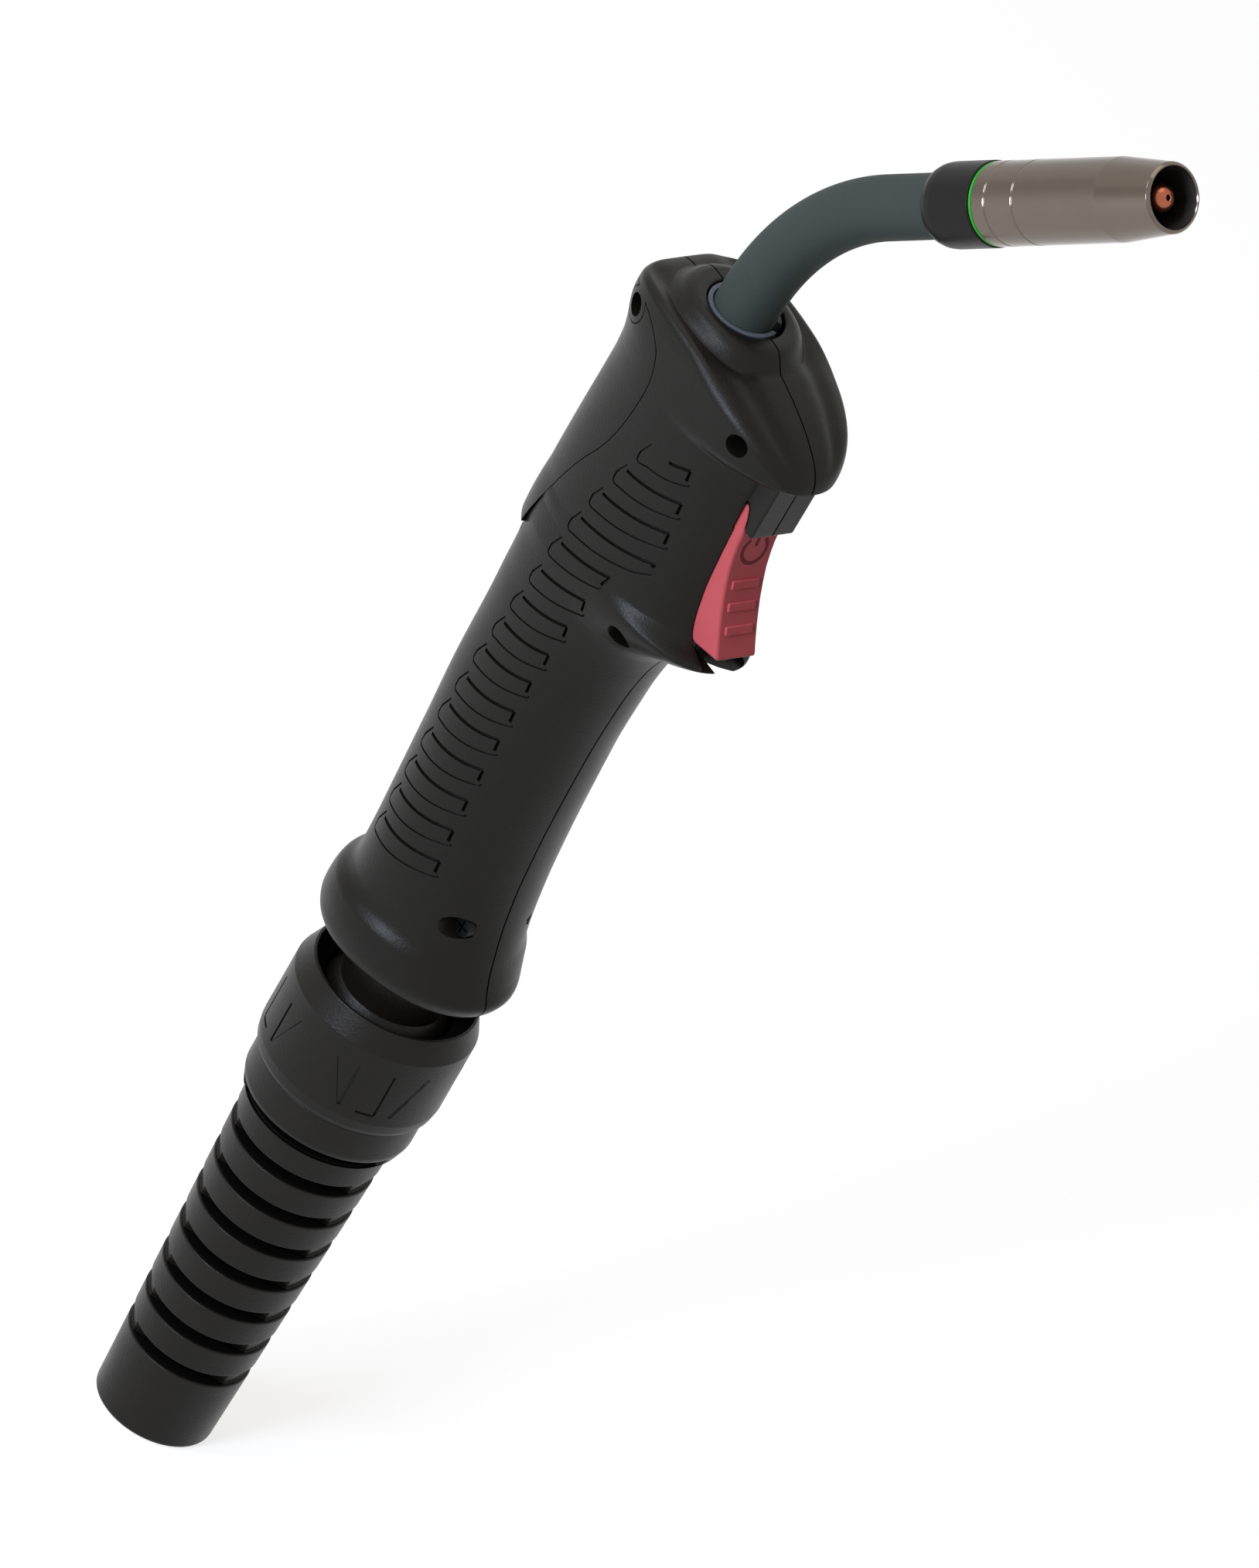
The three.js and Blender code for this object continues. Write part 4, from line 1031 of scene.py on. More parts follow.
    def room(self) -> np.ndarray:
        """Lays out the hollow inside the shells.

        Returns:
            Rows x around x 3, in millimetres.
        """
        angle = np.linspace(0, TAU, self.room_around, endpoint=False)[None, :]
        top, limit = self.room_front
        rows = SmoothTable([(z, b, min(f, limit) if z < top else f, *rest) for z, b, f, *rest in self.levels])
        whole, self.table = self.table, rows
        _, turn = self.ridge(angle, self.wall)
        low = self.heights(4)
        low = np.concatenate([[self.inner_foot], low[low > self.inner_foot + 1]])
        rise = np.linspace(0, 1, 12)[:, None]
        z = np.concatenate([low[:, None] + 0 * angle, self.split + (turn - self.split) * rise])
        x, y = self.section(z, angle, self.wall)
        self.table = whole
        sides = np.stack([x, y, z], -1)
        share = np.linspace(0.06, 0.97, 14)[:, None]
        middle = self.centre
        cx, cy = middle + (x[-1:] - middle) * (1 - share), y[-1:] * (1 - share)
        ceiling = np.minimum(self.crown_height(cx, cy) - self.wall, self.room_top)
        return np.concatenate([sides, np.stack([cx, cy, ceiling], -1)])

    def pad_tools(self) -> list[Thing]:
        """Builds the tools for the pads' engraved lines.

        Returns:
            One tool for each kind of line.
        """
        made = []
        for kind, (width, depth) in enumerate(self.pad_cuts):
            cutter = tool(joined(outline_mesh(ribbon(pad.lines()[kind], width), -45, 45) for pad in self.pads))
            made.append(carve(cutter, Cut.TAKE, wrapped_mesh(self.pad_skin(depth))))
        return made

    def pad_skin(self, depth: float) -> np.ndarray:
        """Lays out the skin that the pads' lines are cut down to, as a grid of points at a depth.

        Args:
            depth: how far below the surface.

        Returns:
            Rows x around x 3, in millimetres.
        """
        angle = np.linspace(0, TAU, self.around, endpoint=False)[None, :]
        z = np.arange(*self.pad_span)[:, None] + 0 * angle
        x, y = self.section(z, angle, depth)
        return np.stack([x, y, z], -1)

    def hood(self) -> Mesh:
        """Builds the block under the nose that covers the trigger's tip.

        Returns:
            The block.
        """
        bm = outline_mesh(self.hood_line, -self.hood_half, self.hood_half)
        soft = [e for e in bm.edges if min(v.co.x for v in e.verts) > 26.5 and min(v.co.z for v in e.verts) < 127]
        bevel(bm, soft, self.hood_soft, 4)
        return bm

    def cheek_cuts(self) -> list[Mesh]:
        """Builds the tools for the pockets in the hood's sides that the trigger's cheeks reach into."""
        low, high = self.cheek_span
        return [outline_mesh(self.cheek_line, *span) for span in ((-high, -low), (low, high))]

    def hollow(self) -> Thing:
        """Builds the hollow with what stands in it left out.

        Returns:
            The hollow.
        """
        hollow = tool(wrapped_mesh(self.room()))
        radius = self.screw_hole + self.post_wall
        posts = [cross_rod(x, z, radius, -self.across, self.across, 32) for x, z in self.screws]
        posts.append(cross_rod(*self.pin, self.pin_post, -self.across, self.across, 32))
        ring = shifted(turned_mesh(self.mouth_tube, 64), self.neck_x, 0, 0)
        return carve(hollow, Cut.TAKE, *posts, ring, self.ribs())

    def ribs(self) -> Thing:
        """Builds the ribs that hold the receiver, the switch and the ball's flange.

        Returns:
            The ribs.
        """
        first, *others = (box_mesh(*corners) for corners in self.slabs)
        whole = tool(first)
        for slab in others:
            carve(whole, Cut.JOIN, slab)
        holes = (upright_rod(self.neck_x, 11.3, 92, 124), upright_rod(0, 11.8, -75, 56))
        return carve(whole, Cut.TAKE, *holes, *(box_mesh(*corners) for corners in self.slab_cuts))

    def body(self, hollow: Thing) -> Thing:
        """Builds both shells in one.

        Args:
            hollow: the room inside.

        Returns:
            The whole handle before it is split.
        """
        whole = tool(wrapped_mesh(self.skin()), "handle")
        carve(whole, Cut.JOIN, self.hood())
        carve(whole, Cut.TAKE, hollow, keep=True)
        cuts = [
            outline_mesh(self.slot_line, -self.slot_half, self.slot_half), box_mesh(*self.guard_gap),
            *self.cheek_cuts(), upright_rod(self.neck_x, self.bush_radius + self.clearance, self.bush_foot, 141),
            cross_rod(*self.pin, self.pin_bore, -self.pin_reach, self.pin_reach, 32),
            upright_rod(0, self.stem_hole, -90, -66),
        ]
        carve(whole, Cut.TAKE, *cuts, *self.screw_cuts())
        return carve(whole, Cut.TAKE, *self.pad_tools())

    def screw_cuts(self) -> list[Mesh]:
        """Builds the tools for the stepped screw holes.

        Returns:
            The tools.
        """
        made = []
        for x, z in self.screws:
            made.append(cross_rod(x, z, self.screw_hole, -60, self.screw_plane))
            made.append(cross_rod(x, z, self.screw_bore, self.screw_plane - 1, self.screw_tip, 24))
        return made

    def cover_tool(self, grow: float, boss: float) -> Thing:
        """Builds the space of the back cover.

        Args:
            grow: how much wider than the cover.
            boss: radius of the back screw's boss, which the space leaves out.

        Returns:
            The tool.
        """
        line = []
        for x, z in self.cover_line:
            level = 0 if x <= -60 else 1 if z > 130 else -1 if z < 53 else 0
            line.append((x + grow * (x > -27.5), z + grow * level))
        line[0] = (line[0][0], line[1][1])
        line[-1] = (line[-1][0], line[-2][1])
        space = tool(outline_mesh(smooth_line(line, 1, len(line) - 2), -60, 60))
        x, z = self.screws[3]
        return carve(space, Cut.TAKE, cross_rod(x, z, boss, -70, 70))

    def build(self) -> list[Thing]:
        """Builds and dresses the three pieces.

        Returns:
            The left shell, the right shell and the back cover.
        """
        hollow = self.hollow()
        whole = self.body(hollow)
        gap = self.seam / 2
        space = self.cover_tool(self.clearance, self.screw_hole + self.post_wall)
        pieces = []
        for name, low, high in (("left", -60, -gap), ("right", gap, 60)):
            half = box_mesh((-80, low, -120), (80, high, 200))
            shell = carve(copied(whole), Cut.KEEP, half)
            carve(shell, Cut.TAKE, space, keep=True)
            node = f"handle_shell_{name}"
            pieces.append(Fitting(f"shell_{name}", SHELL_ABS, Slot.BLACK, replaces=(node,)).dress(shell))
        discard(whole, space)
        return [*pieces, self.cover(hollow)]

    def cover(self, hollow: Thing) -> Thing:
        """Builds and dresses the back cover.

        Args:
            hollow: the room inside.

        Returns:
            The cover.
        """
        plain, self.table = self.table, self.lipped()
        cover = tool(wrapped_mesh(self.skin()), "cover")
        self.table = plain
        space = self.cover_tool(0.0, self.screw_hole + self.post_wall + self.clearance)
        carve(cover, Cut.KEEP, space)
        carve(cover, Cut.TAKE, hollow)
        return Fitting("cover_back", SHELL_ABS, Slot.BLACK, replaces=("back_cover",)).dress(cover)


def smooth_line(points: Sequence[Spot], first: int, last: int, steps: int = 4) -> Outline:
    """Runs a smooth curve through part of an outline.

    Args:
        points: the outline.
        first: index of the curve's first point.
        last: index of its last point.
        steps: points added for each span.

    Returns:
        The outline with the curve in it.
    """
    made = list(points[: first + 1])
    for i in range(first, last):
        p0, p1, p2 = points[max(i - 1, first)], points[i], points[i + 1]
        p3 = points[min(i + 2, last)]
        for k in range(1, steps + 1):
            t = k / steps
            made.append(tuple(
                0.5 * (2 * b + (c - a) * t + (2 * a - 5 * b + 4 * c - d) * t * t + (3 * b - a - 3 * c + d) * t**3)
                for a, b, c, d in zip(p0, p1, p2, p3)
            ))
    return made + list(points[last + 1 :])


# ---------------------------------------------------------------- trigger
@dataclass
class Trigger:
    """The red trigger with its grip ribs and its on and off sign in painted shade."""

    half: float = 7.0
    foot: float = 69.4
    heel: Spot = (24.6, 34.0)  # ends of the flat foot
    toe: Spot = (42.9, 2.0)  # foot of the front face, above the flat foot
    pin: Spot = (22.6, 107.6)
    pin_hole: float = 1.8
    hub: float = 3.3
    knee: Spot = (22.0, 91.2)
    spring: Spot = (24.6, 73.0)  # middle of the well for the spring's end
    well: Spot = (3.3, 9.0)  # the well's radius and length
    soft: float = 1.0
    front: Profile = (
        (40.7, 74.7), (38.6, 78.3), (36.7, 81.8), (34.9, 85.4), (33.3, 89.2), (31.8, 93.2), (30.8, 97.3),
        (30.2, 100.6), (29.9, 103.9),
    )
    head: Profile = ((28.9, 108.6), (27.7, 111.4), (26.6, 112.4), (25.2, 112.2))
    hood_room: Profile = ((25.8, 111.2), (29.7, 105.2), (29.9, 104.6), (40, 104.6), (40, 118), (25.8, 118))
    hood_half: float = 6.55
    rib_rises: tuple[float, ...] = (8.7, 14.3, 19.9)
    rib_half: float = 4.7
    rib_tall: float = 2.5
    rib_out: float = 0.55
    rib_soft: float = 0.4
    mark_rise: float = 29.5
    mark_radius: float = 4.1
    mark_line: float = 1.1
    mark_gap: float = 38.0  # half the ring's opening, in degrees
    mark_bar: Spot = (1.0, 1.2)  # where the bar starts, and how far it passes the ring
    mark_deep: float = -2.5
    mark_tall: float = 5.0
    mark_lift: float = 0.04

    def front_at(self, z: float) -> float:
        """Gives the front edge's x at a height."""
        rows = sorted((b, a) for a, b in self.front)
        return float(np.interp(z, [r[0] for r in rows], [r[1] for r in rows]))

    def face_matrix(self, z: float, lift: float = 0.0) -> Matrix:
        """Gives the place of something on the front face, with its own Z outwards and its Y across.

        Args:
            z: height on the face.
            lift: how far outside the face.

        Returns:
            The matrix.
        """
        along = Vector((self.front_at(z + 1) - self.front_at(z - 1), 0, 2)).normalized()
        across = Vector((0, 1, 0))
        out = across.cross(along).normalized()
        if out.x < 0:
            out.negate()
        side = along.cross(out)
        made = Matrix((along, side, out)).transposed().to_4x4()
        made.translation = Vector((self.front_at(z), 0, z)) + out * lift
        return made

    def outline(self, grow: float = 0.0) -> Outline:
        """Draws the trigger from the side, with its front face moved out by a little.

        Args:
            grow: how far the front moves out.

        Returns:
            The outline as [x, z].
        """
        x, z = self.pin
        hub = [(x + self.hub * math.cos(a), z + self.hub * math.sin(a)) for a in np.linspace(1.75, 3.3, 4)]
        front = [(a + grow, b) for a, b in self.front]
        foot = [*((a, self.foot) for a in self.heel), (self.toe[0] + grow, self.foot + self.toe[1])]
        return [*foot, *front, *self.head, *hub, self.knee]

    def build(self) -> list[Thing]:
        """Builds and dresses the trigger, its ribs and its mark.

        Returns:
            The three pieces.
        """
        bm = outline_mesh(self.outline(), -self.half, self.half)
        bm.normal_update()
        flat = [f for f in bm.faces if abs(abs(f.normal.y) - 1) < 1e-3]
        rims = {e for f in flat for e in f.edges}
        turns = [
            e for e in bm.edges
            if e not in rims and e.calc_face_angle(0) > 0.3 and (e.verts[0].co.x > 42 or e.verts[0].co.z > 110)
        ]
        bevel(bm, [*rims, *turns], self.soft, 5, clamp=False)
        outward(bm)
        room = outline_mesh(self.hood_room, -self.hood_half, self.hood_half)
        x, z = self.spring
        well = Matrix.Translation((x, 0, z)) @ Matrix.Rotation(math.pi / 2, 4, "Y")
        pin = cross_rod(*self.pin, self.pin_hole, -20, 20, 48)
        body = carve(tool(bm), Cut.TAKE, pin, room, rod_mesh(*self.well, well))
        red = Fitting("trigger_red", TRIGGER_ABS, Slot.RED, Body.TRIGGER, ("trigger",)).dress(body)
        ribs = joined(self.rib(rise) for rise in self.rib_rises)
        bars = Fitting("trigger_ribs", TRIGGER_ABS, Slot.RED, Body.TRIGGER).make(ribs)
        # The sign is a thin sheet just proud of the front face, in the red's shaded tone: painted shade of an
        # engraving.
        skin = outline_mesh(self.outline(self.mark_lift), -self.half, self.half)
        sign = carve(tool(joined(self.mark())), Cut.KEEP, skin)
        mark = Fitting("trigger_mark", TRIGGER_SIGN_SHADE, Slot.RED, Body.TRIGGER).dress(sign)
        return [red, bars, mark]

    def rib(self, rise: float) -> Mesh:
        """Builds one rounded grip rib on the front face.

        Args:
            rise: its height above the foot.

        Returns:
            The rib.
        """
        bm = bmesh.new()
        size = Matrix.Diagonal((self.rib_tall, 2 * self.rib_half, 2 * self.rib_out, 1))
        bmesh.ops.create_cube(bm, size=1, matrix=self.face_matrix(self.foot + rise) @ size)
        bevel(bm, bm.edges, self.rib_soft, 3)
        return bm

    def mark(self) -> list[Mesh]:
        """Builds the open ring and its bar, the common on and off sign.

        Returns:
            The ring and the bar.
        """
        place = self.face_matrix(self.foot + self.mark_rise, self.mark_deep)
        half, gap, tall = self.mark_line / 2, math.radians(self.mark_gap), self.mark_tall
        low, high = self.mark_radius - half, self.mark_radius + half
        ring = turned_mesh([(low, 0), (high, 0), (high, tall), (low, tall)], 40, TAU - 2 * gap, gap)
        start, past = self.mark_bar
        bar = box_mesh((start, -half, 0), (self.mark_radius + past, half, tall))
        for part in (ring, bar):
            bmesh.ops.transform(part, matrix=place, verts=part.verts)
        return [ring, bar]


# ---------------------------------------------------------------- neck and front end
def pushed(bm: Mesh, faces: list[bmesh.types.BMFace], count: int, way: Vector) -> list[bmesh.types.BMFace]:
    """Extrudes some faces straight on and leaves the start open.

    Args:
        bm: the mesh.
        faces: the faces.
        count: how many steps.
        way: the whole way.

    Returns:
        The faces of the new end.
    """
    for _ in range(count):
        made = bmesh.ops.extrude_face_region(bm, geom=faces)["geom"]
        verts = [v for v in made if isinstance(v, bmesh.types.BMVert)]
        bmesh.ops.translate(bm, verts=verts, vec=way / count)
        bmesh.ops.delete(bm, geom=faces, context="FACES_KEEP_BOUNDARY")
        faces = [f for f in made if isinstance(f, bmesh.types.BMFace)]
    return faces


@dataclass
class Neck:
    """The bent neck, its bush, and the place of everything on the nozzle's axis."""

    x: float = -9.9
    start: float = 147.6
    bend: float = 80.0
    angle: float = math.pi / 4
    radius: float = 8.6
    bore: float = 7.3
    foot: float = 123.8
    jacket_end: float = 31.0
    bush_radius: float = 10.3
    bush_gap: float = 0.3
    bush_top: float = 145.9
    notch_half: float = 2.2
    notch_way: float = 0.62

    @property
    def axis(self) -> Matrix:
        """Gives the place of the nozzle's axis, from the end of the bend.

        Returns:
            The matrix.
        """
        x = self.x + self.bend * (1 - math.cos(self.angle))
        z = self.start + self.bend * math.sin(self.angle)
        return Matrix.Translation((x, 0, z)) @ Matrix.Rotation(self.angle, 4, "Y")

    def build(self) -> list[Thing]:
        """Builds and dresses the jacket and the bush.

        Returns:
            The jacket and the bush.
        """
        bm = bmesh.new()
        for radius in (self.radius, self.bore):
            ring = bmesh.ops.create_circle(bm, segments=72, radius=radius, cap_ends=False)["verts"]
            bmesh.ops.translate(bm, verts=ring, vec=(self.x, 0, self.foot))
        bmesh.ops.bridge_loops(bm, edges=list(bm.edges))
        front = pushed(bm, list(bm.faces), 6, Vector((0, 0, self.start - self.foot)))
        bent = bmesh.ops.spin(
            bm, geom=front, cent=(self.x + self.bend, 0, self.start), axis=(0, 1, 0), angle=self.angle,
            steps=40, use_merge=False, use_normal_flip=False, use_duplicate=False,
        )["geom_last"]
        front = [f for f in bent if isinstance(f, bmesh.types.BMFace)]
        pushed(bm, front, 8, self.axis.to_3x3() @ Vector((0, 0, self.jacket_end)))
        bmesh.ops.remove_doubles(bm, verts=bm.verts, dist=1e-5)
        jacket = Fitting("neck_sleeve", JACKET, Slot.JACKET, replaces=("neck_jacket",)).make(outward(bm))
        return [jacket, self.bush()]

    def bush(self) -> Thing:
        """Builds and dresses the split bush in the handle's mouth.

        Returns:
            The piece.
        """
        low, high, bore, outer = self.foot, self.bush_top, self.radius + self.bush_gap, self.bush_radius
        profile = rounded(((bore, low), (outer, low), (outer, high, 0.35), (bore, high, 0.3)))
        ring = tool(shifted(turned_mesh(profile, 120), self.x, 0, 0))
        half = self.notch_half
        notch = spun(box_mesh((self.radius - 1, -half, high - 4), (outer + 2, half, high + 1)), self.notch_way)
        carve(ring, Cut.TAKE, shifted(notch, self.x, 0, 0))
        return Fitting("mouth_bush", BUSH_PA, Slot.GREY, replaces=("neck_bush",)).dress(ring)


@dataclass
class FrontEnd:
    """Everything that sits round the nozzle's axis; its sizes run along that axis."""

    axis: Matrix
    cup_back: float = 22.0
    cup_front: float = 41.55
    cup_radius: float = 11.3
    seal_back: float = 41.75
    nozzle_back: float = 42.8
    mouth: float = 107.6
    radius: float = 11.05
    bore: float = 9.3
    mouth_bore: float = 8.1
    mouth_outer: float = 9.0
    taper: float = 89.2
    grooves: tuple[float, ...] = (47.7, 58.1)
    cup_seat: float = 31.3
    seal_wide: float = 0.8
    tip_radius: float = 4.0
    tip_back: float = 2.0  # how far its end lies inside the mouth
    tip_long: float = 24.0
    tip_dome: float = 3.4
    wire_bore: float = 0.7
    spigot: Spot = (2.4, 6.0)  # radius and length

    def cup(self) -> Thing:
        """Builds the black insulating cup with its long rounded back.

        Returns:
            The piece.
        """
        back, front, r = self.cup_back, self.cup_front, self.cup_radius
        profile = rounded((
            (8.9, back, 0.2), (9.1, back, 0.15), (10.35, back + 1.1, 1.6), (11.1, back + 3.2, 3), (r, back + 5.2, 4),
            (r, front, 0.55), (9.3, front), (6.1, front), (6.1, self.cup_seat), (8.9, self.cup_seat),
        ), 8)
        return Fitting("insulating_cup", PHENOLIC, Slot.BLACK, replaces=("nozzle_cup",)).make(
            turned_mesh(profile, 128), self.axis)

    def seal(self) -> Thing:
        """Builds the green sealing ring.

        Returns:
            The piece.
        """
        back, front = self.seal_back, self.seal_back + self.seal_wide
        profile = rounded(((8.6, back), (11.0, back, 0.35), (11.0, front, 0.35), (8.6, front)), 6)
        return Fitting("sealing_ring", SEAL, Slot.GREEN, replaces=("seal_ring",)).make(
            turned_mesh(profile, 128), self.axis)

    def nozzle(self) -> Thing:
        """Builds the nickel gas nozzle, whose bore takes painted shade.

        Returns:
            The piece.
        """
        r, back, mouth = self.radius, self.nozzle_back, self.mouth
        loop: list[tuple[float, ...]] = [(self.bore, back), (r, back, 0.35)]
        for z in self.grooves:
            loop += [(r, z - 0.42), (r - 0.14, z - 0.2, 0.15), (r + 0.1, z, 0.12)]
            loop += [(r - 0.14, z + 0.2, 0.15), (r, z + 0.42)]
        loop += [
            (r, self.taper, 0.2), (self.mouth_outer + 0.28, mouth - 0.7, 0.15), (self.mouth_outer - 0.35, mouth, 0.12),
            (self.mouth_bore + 0.2, mouth, 0.1), (self.mouth_bore, mouth - 0.4, 0.1), (self.mouth_bore, mouth - 8, 2),
            (self.bore, self.taper - 6, 2),
        ]
        piece = Fitting("nozzle_nickel", NICKEL, Slot.NICKEL, Body.NOZZLE, ("gas_nozzle",), 28).make(
            turned_mesh(rounded(loop, 4), 192), self.axis)
        # The bore takes painted shade: a darker, duller copy of the plate.
        paint_shade_inside(piece, NICKEL_PAINTED_SHADE, self.in_nozzle_shade)
        return piece

    def in_nozzle_shade(self, faces: Faces) -> np.ndarray:
        """Tells which faces of the nozzle look inwards at its axis, short of the rim; these take the painted shade.

        Args:
            faces: the nozzle's faces.

        Returns:
            True for each such face.
        """
        back_way = np.array(self.axis.inverted())
        turn = back_way[:3, :3].T
        own = Faces(faces.middles @ turn + back_way[:3, 3], faces.normals @ turn)
        return (own.outward < 0) & (own.middles[:, 2] < self.mouth - 0.5)

    def tip(self) -> Thing:
        """Builds the copper contact tip with its domed, drilled end.

        Returns:
            The piece.
        """
        end = self.mouth - self.tip_back
        seat = end - self.tip_long
        r, high, (small, long) = self.tip_radius, self.tip_dome, self.spigot
        dome = [(r * math.cos(a), end - high + high * math.sin(a)) for a in np.linspace(0, 1.3, 12)]
        body = tool(turned_mesh([
            (self.wire_bore, seat - long), (small, seat - long), (small, seat), (r - 0.2, seat), (r, seat + 0.3),
            (r, end - 9), (r, end - 5), *dome[1:], (0.95, end - 0.05), (self.wire_bore, end - 0.3),
        ], 96))
        flats = (spun(box_mesh((r - 0.6, -5, seat + 3), (r + 3, 5, end - 6.5)), turn) for turn in (0.0, math.pi))
        carve(body, Cut.TAKE, *flats)
        for step in (Matrix.Scale(1 / MM, 4), self.axis, Matrix.Scale(MM, 4)):
            body.data.transform(step)
        return Fitting("tip_copper", COPPER, Slot.COPPER, replaces=("contact_tip",)).dress(body)

    def build(self) -> list[Thing]:
        """Builds and dresses the front end."""
        return [self.cup(), self.seal(), self.nozzle(), self.tip()]


# ---------------------------------------------------------------- cable end
@dataclass
class CableEnd:
    """The swivel ball, the collar and the ribbed sleeve over the cable's end."""

    ball_z: float = -102.0
    ball_radius: float = 20.0
    stem_radius: float = 14.5
    ball_bore: float = 8.0
    ball_low: float = -13.0  # where the ball is cut off, from its middle
    flange: float = -69.3
    flange_thick: float = 3.0
    flange_lip: float = 4.0
    spigot: Spot = (11.5, 12.0)  # radius and end above the flange
    collar_radius: float = 26.1
    collar_mouth: float = 23.4
    seat_mouth: float = 18.4
    nut_bore: float = 23.0
    rear: float = -240.0
    rear_radius: float = 16.6
    front_radius: float = 20.9
    sleeve_wall: float = 2.8
    head_start: float = -133.5
    head_radius: float = 24.1
    head_top: float = -118.3
    groove_count: int = 8
    groove_pitch: float = 12.0
    groove_width: float = 3.9
    groove_depth: float = 1.1
    rear_band: float = 23.6
    cut_way: float = -57.0
    cut_reach: float = 9.2
    sleeve_bore: float = 12.6
    mark_centres: tuple[float, ...] = (-76.5, 103.5)
    # half of one mark: angle in degrees and height of its start and end, width, depth
    strokes: tuple[tuple, ...] = (
        ((29, -97.0), (29, -110.5), 0.75, 0.55), ((15.2, -97.2), (28.4, -110.5), 0.4, 0.3),
        ((50.5, -96.4), (50.5, -110.2), 0.8, 0.6), ((50.5, -110.4), (39.3, -110.4), 0.8, 0.5),
        ((73.6, -96.4), (60.4, -110.5), 1.35, 0.95),
    )
    seat_space: float = 0.3
    seat_half: float = 9.0
    seat_radius: float = 22.7
    seat_floor: float = -111.3
    seat_lip: float = -115.3
    throat: float = -122.3

    def radius_at(self, rise: float) -> float:
        """Gives the sleeve's radius at a height above its rear end."""
        return self.rear_radius + (self.front_radius - self.rear_radius) * rise / (self.head_start - self.rear)

    def groove_spans(self) -> list[Spot]:
        """Lists where each groove starts and ends above the rear end."""
        starts = [self.rear_band + i * self.groove_pitch for i in range(self.groove_count)]
        return [(low, low + self.groove_width) for low in starts]

    def ball(self) -> Thing:
        """Builds the ball and its stem.

        Returns:
            The piece.
        """
        low, z, r, stem, flange = self.ball_low, self.ball_z, self.ball_radius, self.stem_radius, self.flange
        turns = np.linspace(math.asin(low / r), math.acos(stem / r), 30)
        front, edge, (pipe, rise) = flange + self.flange_thick, stem + self.flange_lip, self.spigot
        profile = rounded((
            (self.ball_bore + 2, z + low), *((r * math.cos(a), z + r * math.sin(a)) for a in turns),
            (stem, flange), (edge, flange, 0.4), (edge, front, 0.4), (pipe, front), (pipe, flange + rise, 0.5),
            (self.ball_bore, flange + rise, 0.4), (self.ball_bore, z - 4),
        ))
        return Fitting("swivel", NYLON, Slot.BLACK, Body.BALL, ("swivel_ball",)).make(turned_mesh(profile, 112))

    def collar(self) -> Thing:
        """Builds the collar with its engraved grip marks.

        Returns:
            The piece.
        """
        z, r, bore, mouth = self.ball_z, self.collar_radius, self.nut_bore, self.collar_mouth
        profile = rounded((
            (bore, z - 16), (24.6, z - 16, 0.4), (25.6, z - 14.4, 1.2), (r, z - 11.4, 2.2), (r, z + 10.5, 0.9),
            (mouth, z + 17, 0.35), (mouth - 0.9, z + 17, 0.3), (22.2, z + 13.8, 1.5),
            (self.seat_mouth, z + 11.9, 0.4), (self.seat_mouth, z + 9.3), (bore, z + 9.3),
        ), 7)
        body = tool(turned_mesh(profile, 192))
        carve(body, Cut.TAKE, *self.marks())
        made = Fitting("collar", NYLON, Slot.BLACK, Body.CABLE_END, ("collar_nut",)).dress(body)
        # The collar's inside takes painted shade: a darker, rough copy of its nylon.
        paint_shade_inside(made, NYLON_PAINTED_SHADE, self.in_collar_shade)
        return made

    def in_collar_shade(self, faces: Faces) -> np.ndarray:
        """Tells which faces of the collar look inwards at its axis; these take the painted shade."""
        return (faces.outward < -0.2 * faces.radius) & (faces.radius < self.collar_mouth - 0.5)

    def marks(self) -> list[Mesh]:
        """Builds the tools for the grip marks, mirrored about each centre.

        Returns:
            The tools.
        """
        return [
            self.stroke((centre + side * a0, z0), (centre + side * a1, z1), width, depth)
            for centre in self.mark_centres for side in (-1, 1) for (a0, z0), (a1, z1), width, depth in self.strokes
        ]

    def stroke(self, start: Spot, end: Spot, width: float, depth: float) -> Mesh:
        """Bends one groove tool onto the collar.

        Args:
            start: angle in degrees and height.
            end: angle and height.
            width: the groove's width.
            depth: its depth.

        Returns:
            The tool.
        """
        bm = bmesh.new()
        bmesh.ops.create_cube(bm, size=2)
        long_edges = [e for e in bm.edges if abs(e.verts[0].co.x - e.verts[1].co.x) > 1]
        bmesh.ops.subdivide_edges(bm, edges=long_edges, cuts=8, use_grid_fill=False)
        r = self.collar_radius
        a0, a1 = math.radians(start[0]) * r, math.radians(end[0]) * r
        along = Vector((a1 - a0, end[1] - start[1]))
        across = Vector((-along.y, along.x)).normalized() * width / 2
        middle = Vector(((a0 + a1) / 2, (start[1] + end[1]) / 2))
        for vert in bm.verts:
            spot = middle + along * vert.co.x / 2 + across * vert.co.y
            radius = r - depth if vert.co.z < 0 else r + 2
            angle = spot.x / r
            vert.co = (radius * math.cos(angle), radius * math.sin(angle), spot.y)
        return outward(bm)

